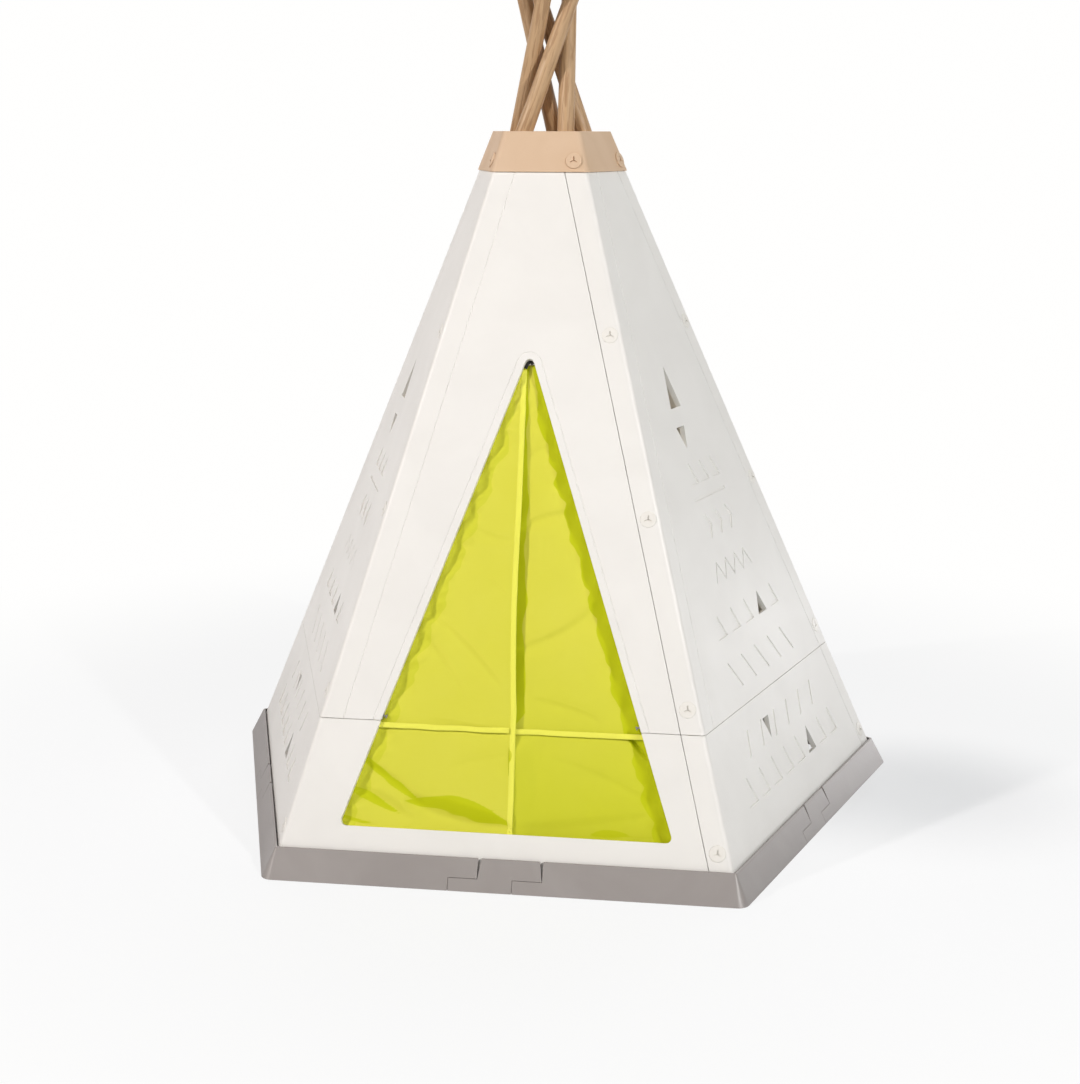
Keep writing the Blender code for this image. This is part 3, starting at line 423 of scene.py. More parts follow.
def turned(profile, sides, name):
    """Turned solid: (radius, height) pairs from the foot's middle to the top's middle."""
    bm = bmesh.new()
    rings = []
    for radius, height in profile:
        ring = []
        for step in range(sides):
            angle = 2 * math.pi * step / sides
            ring.append(bm.verts.new((radius * math.cos(angle), radius * math.sin(angle), height)))
        rings.append(ring)
    for low, high in zip(rings, rings[1:]):
        for i in range(sides):
            j = (i + 1) % sides
            bm.faces.new((low[i], low[j], high[j], high[i]))
    bm.faces.new(list(reversed(rings[0])))
    bm.faces.new(rings[-1])
    mesh = bpy.data.meshes.new(name)
    bm.to_mesh(mesh)
    bm.free()
    return mesh


def slot_cutter(top):
    """Three arms with round ends, from the recess's floor to above the head."""
    bm = bmesh.new()
    half = SLOT_WIDTH / 2
    for arm in range(SLOT_ARMS):
        angle = math.pi / 2 + arm * 2 * math.pi / SLOT_ARMS
        ahead = Vector((math.cos(angle), math.sin(angle), 0))
        across = Vector((-ahead.y, ahead.x, 0))
        outline = [across * half - ahead * half / 2, -across * half - ahead * half / 2]
        reach = ahead * (SLOT_REACH - half)
        for step in range(ARM_STEPS + 1):
            swing = math.pi * step / ARM_STEPS
            outline.append(reach - across * half * math.cos(swing) + ahead * half * math.sin(swing))
        lows = [bm.verts.new(point + Vector((0, 0, top - SLOT_DEPTH))) for point in outline]
        highs = [bm.verts.new(point + Vector((0, 0, top + SLOT_DEPTH))) for point in outline]
        bm.faces.new(lows)
        bm.faces.new(highs)
        for i in range(len(outline)):
            j = (i + 1) % len(outline)
            bm.faces.new((lows[i], lows[j], highs[j], highs[i]))
    bmesh.ops.recalc_face_normals(bm, faces=bm.faces)
    mesh = bpy.data.meshes.new("slot_cutter")
    bm.to_mesh(mesh)
    bm.free()
    return mesh


def cut(mesh, tool):
    """Mesh with a tool's solids taken out of it."""
    body = bpy.data.objects.new("body", mesh)
    cutter = bpy.data.objects.new("cutter", tool)
    for item in (body, cutter):
        bpy.context.scene.collection.objects.link(item)
    modifier = body.modifiers.new("cut", "BOOLEAN")
    modifier.operation = "DIFFERENCE"
    modifier.use_self = True
    modifier.object = cutter
    result = bpy.data.meshes.new_from_object(body.evaluated_get(bpy.context.evaluated_depsgraph_get()))
    for item in (body, cutter):
        bpy.data.objects.remove(item)
    return result


def screw_mesh():
    """Screw along its own axis, zero at the underside of its head."""
    profile = [(STEM_RADIUS, -STEM_LENGTH), (STEM_RADIUS, 0), (HEAD_RADIUS, 0)]
    for step in range(HEAD_STEPS + 1):
        swing = math.pi / 2 * step / HEAD_STEPS
        radius = HEAD_RADIUS - HEAD_EDGE + HEAD_EDGE * math.cos(swing)
        profile.append((radius, HEAD_THICKNESS - HEAD_EDGE + HEAD_EDGE * math.sin(swing)))
    flat = HEAD_RADIUS - HEAD_EDGE
    for share in CROWN_SHARES:
        profile.append((flat * share, HEAD_THICKNESS + HEAD_CROWN * (1 - share * share)))
    mesh = cut(turned(profile, SCREW_SIDES, "screw"), slot_cutter(HEAD_THICKNESS))
    mesh.shade_smooth()
    mesh.set_sharp_from_angle(angle=SCREW_EDGE_ANGLE)
    return mesh


def screw_place(node, side):
    """Matrix of a screw: its axis out of the wall, its head where the node's head is."""
    place = wall_frame(side)
    inverse = place.inverted()
    spots = [inverse @ vertex.co for vertex in frame["nodes"][node].data.vertices]
    lows = [min(spot[i] for spot in spots) for i in range(3)]
    highs = [max(spot[i] for spot in spots) for i in range(3)]
    middle = ((lows[0] + highs[0]) / 2, (lows[1] + highs[1]) / 2, highs[2] - HEAD_THICKNESS)
    return place @ Matrix.Translation(middle)


def add_screw(node, name, mesh, side, material):
    """One screw on the shell, in place of its node."""
    piece = new_piece(name, mesh, material)
    piece.matrix_world = screw_place(node, side)
    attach(piece, "shell")
    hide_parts(node)


screw_plastic = moulded_plastic("screw_plastic", SCREW_WHITE, SCREW_CREAM, grain=1400, depth=0.0002,
                                roughness=0.30)
flange_screw = screw_mesh()
for side, label in enumerate(PLACES):
    for number in range(1, SCREWS_A_CORNER + 1):
        name = f"flange_screw_{label}_{number}"
        add_screw(f"screw_{label}_{number}", name, flange_screw, side, screw_plastic)


# Collar
# One beige plastic cap that slips over the five upper panels' ends. A screw through each corner
# holds it, and the pole tips stand in sockets in its top.

COLLAR_BEIGE = (0.72, 0.53, 0.37, 1)
COLLAR_DEEP = (0.66, 0.47, 0.31, 1)
COLLAR_ROUNDING = 0.0010

collar_plastic = moulded_plastic("collar_plastic", COLLAR_BEIGE, COLLAR_DEEP, grain=900, depth=0.0004,
                                 roughness=0.50, gloss=0.30)
moulded("collar", "collar_cap", COLLAR_ROUNDING, collar_plastic)
collar_screw = flange_screw.copy()
for side, label in enumerate(PLACES):
    add_screw(f"collar_screw_{label}", f"cap_screw_{label}", collar_screw, side, collar_plastic)


# Pole tips
# Five short round poles of tan plastic with a drawn wood grain. Their feet sit in the collar's
# sockets and they lean past each other like the poles of a tent.

POLE_TAN = (0.56, 0.37, 0.205, 1)
POLE_BROWN = (0.36, 0.21, 0.105, 1)
POLE_SIDES = 40
POLE_FOOT_RADIUS = 0.0155
POLE_END_RADIUS = 0.0130
POLE_END_ROUND = 0.0060
POLE_RINGS = 14
POLE_END_STEPS = 7
VEIN_STRETCH = (90, 90, 7)
FIBRE_STRETCH = (700, 700, 22)
GROOVE_BAND = (0.46, 0.62)
GROOVE_SHARE = 0.75
GROOVE_ROUGHNESS = 0.18
FIBRE_SHARE = 0.25
FIBRE_HEIGHT = 0.3


def pole_plastic():
    """Tan plastic with darker grooves and fine fibres along the pole."""
    wood = Finish(bpy.data.materials.new("pole_plastic"))
    place = wood.node("TexCoord", {}, {}, "Object")
    long_place = wood.stretch(place, VEIN_STRETCH)
    veins = wood.node("TexNoise", {}, {"Vector": long_place, "Scale": 2.2, "Detail": 7, "Distortion": 0.8})
    fine_place = wood.stretch(place, FIBRE_STRETCH)
    fibres = wood.node("TexNoise", {}, {"Vector": fine_place, "Scale": 1, "Detail": 3})
    grooves = wood.band(veins, *GROOVE_BAND)
    colour = wood.mix(grooves * GROOVE_SHARE, POLE_TAN, POLE_BROWN)
    colour = wood.mix(fibres * FIBRE_SHARE, colour, POLE_BROWN)
    bump = wood.node("Bump", {}, {
        "Height": fibres * FIBRE_HEIGHT - grooves,
        "Strength": 0.6,
        "Distance": 0.0007,
    })
    shader = wood.node("BsdfPrincipled", {}, {
        "Base Color": colour,
        "Roughness": 0.42 + grooves * GROOVE_ROUGHNESS,
        "Specular IOR Level": 0.4,
        "Normal": bump,
    })
    wood.node("OutputMaterial", {}, {"Surface": shader})
    return wood.owner


def pole_line(node):
    """Foot and tip of a pole's centre line, from the node's own points."""
    points = np.array([vertex.co for vertex in frame["nodes"][node].data.vertices])
    middle = (points.min(0) + points.max(0)) / 2
    centred = points - points.mean(0)
    direction = np.linalg.svd(centred, full_matrices=False)[2][0]
    direction *= math.copysign(1, direction[2])
    reach = (points - middle) @ direction
    return Vector(middle + direction * reach.min()), Vector(middle + direction * reach.max())


def pole_mesh(length):
    """Slim pole that narrows a little and ends in a rounded tip."""
    profile = []
    straight = length - POLE_END_ROUND
    for step in range(POLE_RINGS + 1):
        share = step / POLE_RINGS
        narrow = (POLE_FOOT_RADIUS - POLE_END_RADIUS) * share
        profile.append((POLE_FOOT_RADIUS - narrow, straight * share))
    for step in range(1, POLE_END_STEPS):
        swing = math.pi / 2 * step / POLE_END_STEPS
        radius = POLE_END_RADIUS - POLE_END_ROUND * (1 - math.cos(swing))
        profile.append((radius, straight + POLE_END_ROUND * math.sin(swing)))
    mesh = turned(profile, POLE_SIDES, "pole")
    mesh.shade_smooth()
    mesh.set_sharp_from_angle(angle=EDGE_ANGLE)
    return mesh


pole_wood = pole_plastic()
for label in PLACES:
    foot, tip = pole_line(f"pole_tip_{label}")
    pole = new_piece(f"pole_{label}", pole_mesh((tip - foot).length), pole_wood)
    stand = (tip - foot).to_track_quat("Z", "Y").to_matrix().to_4x4()
    pole.matrix_world = Matrix.Translation(foot) @ stand
    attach(pole, "shell")
    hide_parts(f"pole_tip_{label}")


# Door curtain
# Two halves of thin lime polyester, each hemmed behind its slanted door edge. The cloth hangs in
# a little, puckers along the hems, and the left half's free edge lies in front of the right's.

LEFT = -1
RIGHT = 1
HANDS = {"left": LEFT, "right": RIGHT}
DOOR_SILL = 0.0400            # above the rail's top, along the wall
DOOR_RISE = 0.833
DOOR_JAMB = 0.0904
CURTAIN_FOOT = 0.022
HEM_WIDTH = 0.021
HINGE_SETBACK = 0.0018
FOLD_DEPTH = 0.0118           # fold line behind the wall's outer surface
HEAD_DROPS = {LEFT: 0.034, RIGHT: 0.025}
SPLITS = (                    # line between the halves: (share of the height, metres right of the middle)
    (0, 0.0115), (0.26, 0.0065), (0.35, 0.0016), (0.45, -0.0021), (0.56, -0.0036), (0.67, -0.0034),
    (0.77, -0.0045), (1, -0.0075),
)
OVERLAPS = (                  # of the right half behind the left one: (share of the height, metres)
    (0.02, 0.007), (0.22, 0.009), (0.32, 0.020), (0.74, 0.020), (0.95, 0.007),
)
HEM_RUN = 0.010               # a "run" is the distance from an edge over which something fades
SAGS = {LEFT: -0.0005, RIGHT: 0.0118}
SAG_AT_FOOT = 1.05            # share of the sag
SAG_LOSS = 0.15               # between the foot and the head
SAG_RUN = 0.030
EDGE_DROPS = (                # depth added at the right half's free edge: (share of the height, metres)
    (0, -0.011), (0.20, -0.011), (0.28, 0.002), (0.60, 0.003), (0.80, -0.004), (1, -0.006),
)
EDGE_RUN = 0.060
PUCKER_PITCH = 0.072
PUCKER_DEPTHS = {LEFT: 0.0078, RIGHT: 0.0066}
PUCKER_SLANT = 0.55
PUCKER_WANDER = 0.6
PUCKER_SHARPNESS = 2.6
PUCKER_MEAN = 0.40
PUCKER_RUN = 0.034
PUCKER_ROOM = 0.070           # where the cloth is narrower or lower than this, it lies flatter
DRIFT_DEPTH = 0.0016
RUFFLE_DEPTH = 0.0045
RUFFLE_RUN = 0.045
RUMPLE_DEPTHS = {LEFT: 0.0030, RIGHT: 0.0014}
RUMPLE_RUN = 0.030
FINE_DEPTH = 0.00045
BEND_OUTSIDE = 0.0010         # from the fold line outward, to the first of two points by it
BEND_INSIDE = 0.0120          # and inward, to the second
CLOTH_THICKNESS = 0.0006
CLOTH_STEP = 0.0036
HEM_COLUMNS = 5
# Wavy border of the painted shadow that the door's edge throws on the cloth.
SCALLOP_PITCH = 0.066
SCALLOP_DEPTHS = {LEFT: 0.0110, RIGHT: 0.0095}
SCALLOP_WANDER = 1.3
SCALLOP_MEAN = 0.6
WAVER_SHARE = 0.5
SHADOW_EDGE = 0.0022          # width of the painted shadow's border
SHADOW_WIDTHS = {             # painted shadow of the door's edge beside the fold line, at the foot and at the head
    LEFT: (0.0200, 0.0280),
    RIGHT: (0.0320, 0.0200),
}
STRIP_WIDTH = 0.0150          # painted shadow of the binding, on the right half
STRIP_SHARES = (              # of that width: (share of the height, share of the width)
    (0.24, -0.4), (0.27, 1), (0.35, 1.15), (0.44, 0.75), (0.50, 1.1), (0.62, 0.6), (0.72, 0.75),
    (0.82, 0.4), (0.96, 0.3),
)
SHADOW_LENSES = {             # painted shadow below a fold: start (across, up), level at the middle, end (across, up), thickness
    LEFT: (
        ((0.33, 0.075), 0.085, (1.03, 0.034), 0.029),
        ((-0.12, 0.177), 0.122, (0.48, 0.067), 0.014),
        ((-0.10, 0.1085), 0.079, (0.34, 0.049), 0.013),
        ((-0.10, 0.050), 0.032, (0.22, 0.026), 0.006),
    ),
    RIGHT: (
        ((0.25, 0.030), 0.038, (0.52, 0.026), 0.013),
    ),
}
LIME = (0.770, 0.742, 0.090, 1)
LIME_DEEP = (0.715, 0.700, 0.040, 1)
# Deep lime of the painted shadows, and of the painted shade towards the foot.
LIME_SHADOW = (0.58, 0.625, 0.0, 1)
SHADOW_TINTS = {LEFT: 0.42, RIGHT: 1}         # share of the deep lime painted as shadow along the edges
FOLD_SHADOW_TINT = 1                               # in the painted shadow below a lying fold
FOOT_SHADE_TINTS = {LEFT: 0.12, RIGHT: 0.62}        # and as painted shade towards the foot
FOOT_SHADE_RUN = 0.40
DRIFT_SHARE = 0.5
DRIFT_ROUGHNESS = 0.12
SLUB_STRETCH = (40, 900, 1)
SLUB_SHARE = 0.25
SLUB_HEIGHT = 0.5
GAP_SHARE = 0.12              # between the threads
WEAVE_ROUGHNESS = 0.05
THREAD_PITCH = 0.0007
BANDS_A_UNIT = 3.18           # of a wave texture at scale 1

# Ripples: the three axes of a smooth noise. Each adds up a rate across and a rate up the wall, in
# waves a metre, a number that is taken times the hand, and a start.
WANDER_RIPPLE = ((0, 7, 0, 0), (0, 0, 3.1, 0), (0, 0, 0, 0.5))
DRIFT_RIPPLE = ((16, 5, 0, 0), (0, 9, 0, 0), (0, 0, 2, 0))
RUFFLE_RIPPLE = ((0, 26, 0, 0), (0, 0, 0, 8), (6, 0, 0, 0))
RUMPLE_RIPPLE = ((45, 30, 0, 0), (-40, 62, 0, 0), (0, 0, 9, 0))
FINE_RIPPLE = ((60, 26, 0, 0), (-20, 34, 0, 0), (0, 0, 5, 0))
SCALLOP_RIPPLE = ((0, 9, 0, 0), (0, 0, 1, 0), (0, 0, 0, 2))
WAVER_RIPPLE = ((0, 60, 0, 0), (0, 0, 4, 0), (20, 0, 0, 0))
STRIP_RIPPLE = ((0, 24, 0, 0), (0, 0, 0, 3), (0, 0, 1, 0))

# Folds: both ends as (across from the fold line, up) shares, bow above the straight line as a share
# of its length, then depth at the middle, width above and width below, in metres.
FOLDS = {
    LEFT: (
        (0.00, 0.158, 0.46, 0.073, 0.02, 0.0060, 0.009, 0.034),
        (0.34, 0.084, 1.00, 0.036, -0.06, 0.0130, 0.028, 0.040),
        (0.00, 0.103, 0.42, 0.040, 0.02, 0.0080, 0.014, 0.034),
        (0.00, 0.478, 0.90, 0.320, 0.06, 0.0035, 0.007, 0.026),
        (0.08, 0.430, 0.60, 0.300, 0.03, 0.0022, 0.005, 0.020),
        (0.10, 0.665, 0.94, 0.630, -0.05, 0.0030, 0.006, 0.018),
        (0.30, 0.250, 0.98, 0.222, 0.02, 0.0020, 0.005, 0.016),
        (0.55, 0.150, 0.98, 0.185, 0.03, 0.0012, 0.005, 0.016),
        (0.55, 0.560, 0.96, 0.500, 0.03, 0.0012, 0.005, 0.016),
    ),
    RIGHT: (
        (0.00, 0.180, 0.12, 0.236, 0.00, 0.0140, 0.005, 0.006),
        (0.92, 0.400, 0.10, 0.500, -0.06, 0.0046, 0.008, 0.028),
        (0.86, 0.655, 0.16, 0.690, 0.05, 0.0040, 0.007, 0.018),
        (0.80, 0.300, 0.30, 0.262, 0.03, 0.0026, 0.006, 0.020),
        (0.95, 0.036, 0.12, 0.075, -0.03, 0.0024, 0.014, 0.040),
        (0.70, 0.180, 0.12, 0.110, 0.03, 0.0020, 0.008, 0.026),
        (0.80, 0.800, 0.20, 0.835, 0.03, 0.0014, 0.006, 0.014),
    ),
}

FRONT_WALL = wall_frame(0)
DOOR_PEAK = DOOR_SILL + DOOR_RISE
HEADS = {hand: DOOR_PEAK - drop for hand, drop in HEAD_DROPS.items()}


def wall_half_width(distance):
    """Half the front wall's width at a distance up the wall."""
    reach = WALL_REACH * math.cos(HALF_TURN) - distance * math.sin(LEAN)
    return reach * math.tan(HALF_TURN)


DOOR_HALF = wall_half_width(DOOR_SILL) - DOOR_JAMB
DOOR_EDGE = Vector((DOOR_HALF, DOOR_RISE)).normalized()


def fold_line(distance):
    """Fold line's distance from the door's middle."""
    return DOOR_HALF * (DOOR_PEAK - distance) / DOOR_RISE + HINGE_SETBACK / DOOR_EDGE.y


def split_line(distance):
    """Line between the halves, right of the door's middle."""
    share = (distance - CURTAIN_FOOT) / (DOOR_PEAK - CURTAIN_FOOT)
    return float(np.interp(share, *zip(*SPLITS)))


def overlap(distance):
    """How far the right half's edge reaches behind the left half's."""
    return float(np.interp(distance / DOOR_PEAK, *zip(*OVERLAPS)))


def half_width(hand, distance):
    """Level distance from a half's fold line to its free edge."""
    lap = overlap(distance) if hand == RIGHT else 0
    return fold_line(distance) - hand * split_line(distance) + lap


def ease(share):
    """Smooth step from 0 to 1."""
    share = min(max(share, 0), 1)
    return share * share * (3 - 2 * share)


def fold_depth(point, start, end, bow, depth, above, below):
    """Depth of one fold at a point: a crisp valley line, steep above and gentle below."""
    span = end - start
    share = (point - start).dot(span) / span.length_squared
    if not 0 < share < 1:
        return 0
    taper = 4 * share * (1 - share)
    upward = Vector((-span.y, span.x)).normalized()
    upward *= math.copysign(1, upward.y)
    rise = (point - start).dot(upward) - bow * span.length * taper
    width = (above if rise > 0 else below) * math.sqrt(taper)
    return depth * math.sqrt(taper) * max(1 - abs(rise) / width, 0)


def ripple(axes, hand, across, distance):
    """Smooth noise at a place on the cloth, about -1 to 1."""
    return noise.noise(Vector([
        across_rate * across + up_rate * distance + by_hand * hand + start
        for across_rate, up_rate, by_hand, start in axes
    ]))


def cloth_depth(hand, across, distance):
    """Depth of the cloth below the wall's outer surface, across metres from the fold line."""
    width = half_width(hand, distance)
    inset = across * DOOR_EDGE.y
    rise = HEADS[hand] - CURTAIN_FOOT
    up = (distance - CURTAIN_FOOT) / rise
    near = ease(inset / HEM_RUN)
    sag = SAGS[hand] * (SAG_AT_FOOT - SAG_LOSS * up)
    if hand == RIGHT:
        sag += float(np.interp(up, *zip(*EDGE_DROPS))) * ease(1 - (width - across) / EDGE_RUN)
    depth = FOLD_DEPTH + sag * ease(inset / SAG_RUN)
    wander = ripple(WANDER_RIPPLE, hand, across, distance)
    phase = (distance + inset * PUCKER_SLANT) / PUCKER_PITCH + wander * PUCKER_WANDER
    swell = abs(math.cos(math.pi * phase)) ** PUCKER_SHARPNESS - PUCKER_MEAN
    fade = near * math.exp(-(inset / PUCKER_RUN) ** 2) * ease(width / PUCKER_ROOM)
    fade *= ease((distance - CURTAIN_FOOT) / PUCKER_ROOM)
    depth += PUCKER_DEPTHS[hand] * swell * fade
    here = Vector((across, distance))
    for start_across, start_up, end_across, end_up, *fold in FOLDS[hand]:
        start = Vector((start_across * width, CURTAIN_FOOT + start_up * rise))
        end = Vector((end_across * width, CURTAIN_FOOT + end_up * rise))
        depth += near * fold_depth(here, start, end, *fold)
    depth += DRIFT_DEPTH * near * ripple(DRIFT_RIPPLE, hand, across, distance)
    if hand == RIGHT:
        ruffle = ripple(RUFFLE_RIPPLE, hand, across, distance)
        ruffle *= ease(1 - (width - across) / RUFFLE_RUN)
        depth += RUFFLE_DEPTH * near * ruffle
    rumple = ripple(RUMPLE_RIPPLE, hand, inset, distance)
    depth += RUMPLE_DEPTHS[hand] * near * math.exp(-(inset / RUMPLE_RUN) ** 2) * rumple
    return depth + FINE_DEPTH * near * ripple(FINE_RIPPLE, hand, across, distance)


def painted_shadow(hand, across, distance):
    """How far a point lies inside the painted shadow beside the edges, and below a lying fold."""
    width = half_width(hand, distance)
    up = (distance - CURTAIN_FOOT) / (HEADS[hand] - CURTAIN_FOOT)
    wander = SCALLOP_WANDER * ripple(SCALLOP_RIPPLE, hand, across, distance)
    phase = math.pi * distance / SCALLOP_PITCH + wander
    waver = ripple(WAVER_RIPPLE, hand, across, distance)
    scallop = abs(math.sin(phase)) - SCALLOP_MEAN + WAVER_SHARE * waver
    # Painted shadow of the door's edge, beside the fold line.
    shadow_width = float(np.interp(up, (0, 1), SHADOW_WIDTHS[hand]))
    shadow_width = (shadow_width + SCALLOP_DEPTHS[hand] * scallop) * ease(width / PUCKER_ROOM)
    inside = shadow_width - across * DOOR_EDGE.y
    # Painted shadow of the binding on the right half.
    if hand == RIGHT:
        strip = STRIP_WIDTH * float(np.interp(up, *zip(*STRIP_SHARES)))
        strip_waver = ripple(STRIP_RIPPLE, hand, across, distance)
        strip += SCALLOP_DEPTHS[hand] * WAVER_SHARE * strip_waver
        inside = max(inside, strip - (width - overlap(distance) - across))
    # Painted shadows below the lying folds.
    lens = -SHADOW_EDGE
    for start, middle, end, thick in SHADOW_LENSES[hand]:
        share = min(max((across / width - start[0]) / (end[0] - start[0]), 0), 1)
        level = (1 - share) ** 2 * start[1] + 2 * share * (1 - share) * middle + share ** 2 * end[1]
        depth = thick * 4 * share * (1 - share) * (1 + WAVER_SHARE * waver)
        lens = max(lens, depth / 2 - abs(distance - level * (DOOR_PEAK - CURTAIN_FOOT) - CURTAIN_FOOT))
    return inside, lens


def cloth_spot(hand, across, distance):
    """Point on the curtain in space."""
    x = hand * (fold_line(distance) - across)
    return FRONT_WALL @ Vector((x, distance, -cloth_depth(hand, across, distance)))


def strip_mesh(name, rows):
    """Sheet over rows of (point, texture place) pairs."""
    bm = bmesh.new()
    layer = bm.loops.layers.uv.new("cloth")
    grid = [[bm.verts.new(point) for point, _ in row] for row in rows]
    places = {}
    for verts, row in zip(grid, rows):
        for vertex, (_, place) in zip(verts, row):
            places[vertex] = place
    for low, high in zip(grid, grid[1:]):
        for j in range(len(low) - 1):
            bm.faces.new((low[j], low[j + 1], high[j + 1], high[j]))
    for face in bm.faces:
        for loop in face.loops:
            loop[layer].uv = places[loop.vert]
    mesh = bpy.data.meshes.new(name)
    bm.to_mesh(mesh)
    bm.free()
    mesh.shade_smooth()
    return mesh


def curtain_mesh(hand):
    """One half, in level rows from the hem's back edge to the free edge."""
    head = HEADS[hand]
    count = round((head - CURTAIN_FOOT) / CLOTH_STEP)
    columns = round(half_width(hand, CURTAIN_FOOT) / CLOTH_STEP)
    rows = []
    for i in range(count + 1):
        distance = CURTAIN_FOOT + (head - CURTAIN_FOOT) * i / count
        width = half_width(hand, distance)
        insets = [-HEM_WIDTH * (HEM_COLUMNS - j) / HEM_COLUMNS for j in range(HEM_COLUMNS)]
        insets += [width * j / columns for j in range(columns + 1)]
        rows.append([(cloth_spot(hand, inset, distance), (inset, distance)) for inset in insets])
    mesh = strip_mesh(f"curtain_{hand}", rows)
    # Painted shadow masks: beside the edges, and below the lying folds.
    layers = zip(*(painted_shadow(hand, *place) for row in rows for _, place in row))
    for mark, values in zip(("painted_shadow", "fold_shadow"), layers):
        mesh.attributes.new(mark, "FLOAT", "POINT").data.foreach_set("value", values)
    return mesh


def woven_cloth(name, colour, deep, pitch, sheen, hand=None):
    """Plain weave with a slow drift in the dye; a curtain half has painted shadows and shade."""
    cloth = Finish(bpy.data.materials.new(name))
    place = cloth.node("UVMap", {"uv_map": "cloth"}, {})
    threads = []
    for direction in "XY":
        settings = {"wave_type": "BANDS", "wave_profile": "SIN", "bands_direction": direction}
        threads.append(cloth.node("TexWave", settings, {
            "Vector": place,
            "Scale": 1 / pitch / BANDS_A_UNIT,
            "Distortion": 0.6,
            "Detail": 1,
            "Detail Scale": 1.5,
        }, "Fac"))
    drift = cloth.node("TexNoise", {}, {"Vector": place, "Scale": 9, "Detail": 5})
    slub_place = cloth.stretch(place, SLUB_STRETCH)
    slub = cloth.node("TexNoise", {}, {"Vector": slub_place, "Scale": 1, "Detail": 2})
    weave = threads[0] * threads[1]
    tint = cloth.mix(drift * DRIFT_SHARE + slub * SLUB_SHARE, colour, deep)
    tint = cloth.mix((1 - weave) * GAP_SHARE, tint, deep)
    if hand:
        # Painted shadows: of the door's edges and the binding, and below the lying folds.
        for mark, strength in (("painted_shadow", SHADOW_TINTS[hand]), ("fold_shadow", FOLD_SHADOW_TINT)):
            inside = cloth.node("Attribute", {"attribute_name": mark}, {}, "Fac")
            share = cloth.band(inside, -SHADOW_EDGE / 2, SHADOW_EDGE / 2) * strength
            tint = cloth.mix(share, tint, LIME_SHADOW)
        # Painted shade: darker towards the foot.
        height = cloth.node("SeparateXYZ", {}, {"Vector": place}, "Y")
        raised = cloth.band(height, CURTAIN_FOOT, CURTAIN_FOOT + FOOT_SHADE_RUN)
        tint = cloth.mix((1 - raised) * FOOT_SHADE_TINTS[hand], tint, LIME_SHADOW)
    relief = weave + slub * SLUB_HEIGHT
    bump = cloth.node("Bump", {}, {"Height": relief, "Strength": 0.5, "Distance": 0.00025})
    shader = cloth.node("BsdfPrincipled", {}, {
        "Base Color": tint,
        "Roughness": 0.56 + drift * DRIFT_ROUGHNESS - weave * WEAVE_ROUGHNESS,
        "Specular IOR Level": 0.20,
        "Sheen Weight": sheen,
        "Sheen Roughness": 0.5,
        "Normal": bump,
    })
    cloth.node("OutputMaterial", {}, {"Surface": shader})
    return cloth.owner


def bend_points(hand):
    """Two points square to the fold line at the foot, just outside it and some way inside it."""
    outward = Vector((hand * DOOR_EDGE.y, DOOR_EDGE.x, 0))
    fold = Vector((hand * fold_line(CURTAIN_FOOT), CURTAIN_FOOT, -FOLD_DEPTH))
    return FRONT_WALL @ (fold + outward * BEND_OUTSIDE), FRONT_WALL @ (fold - outward * BEND_INSIDE)


for label, hand in HANDS.items():
    lime_cloth = woven_cloth(f"lime_cloth_{label}", LIME, LIME_DEEP, THREAD_PITCH, sheen=0.04, hand=hand)
    half = new_piece(f"curtain_{label}", curtain_mesh(hand), lime_cloth)
    modifier = half.modifiers.new("thickness", "SOLIDIFY")
    modifier.thickness = CLOTH_THICKNESS
    modifier.offset = 0
    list(bend_points(hand))
    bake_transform(half)
    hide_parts(f"curtain_flap_{label}", f"curtain_hem_{label}")
    length = HEADS[hand] - CURTAIN_FOOT
    widths = [HEM_WIDTH + half_width(hand, distance) for distance in (CURTAIN_FOOT, HEADS[hand])]
    sum(widths) / 2 * length


# Edge binding
# A folded polyester tape in a lighter lime, sewn over the left half's free edge from the foot to
# the head. It keeps the edge straight and covers the line between the halves.

TAPE_WIDTH = 0.0098
TAPE_HALF_THICKNESS = 0.0009
TAPE_OVERHANG = 0.0020        # beyond the cloth's edge
TAPE_STEP = 0.004
TAPE_ROUND_POINTS = 5
TAPE_WAVER = 0.0006
TAPE_TIP = 3                  # last steps, over which it narrows to a round end
TAPE_EDGE_ANGLE = math.radians(60)
PROBE = 0.002                 # either side of a point, to find the cloth's slope
TAPE_PITCH = 0.0009
TAPE_RIPPLE = ((0, 22, 0, 0), (0, 0, 0, 4), (0, 0, 0, 0))
TAPE_LIME = (0.92, 0.91, 0.120, 1)
TAPE_SHADE = (0.86, 0.85, 0.09, 1)
OUTWARD = FRONT_WALL.to_3x3() @ Vector((0, 0, 1))


def tape_section(middle, across, half, half_thickness):
    """Closed outline of a flat tape with round edges, flat against the wall."""
    outline = []
    for sign in (1, -1):
        for step in range(TAPE_ROUND_POINTS):
            swing = -math.pi / 2 + math.pi * step / (TAPE_ROUND_POINTS - 1)
            along = sign * (half - half_thickness + half_thickness * math.cos(swing))
            rise = sign * half_thickness * math.sin(swing)
            outline.append(middle + across * along + OUTWARD * rise)
    return outline


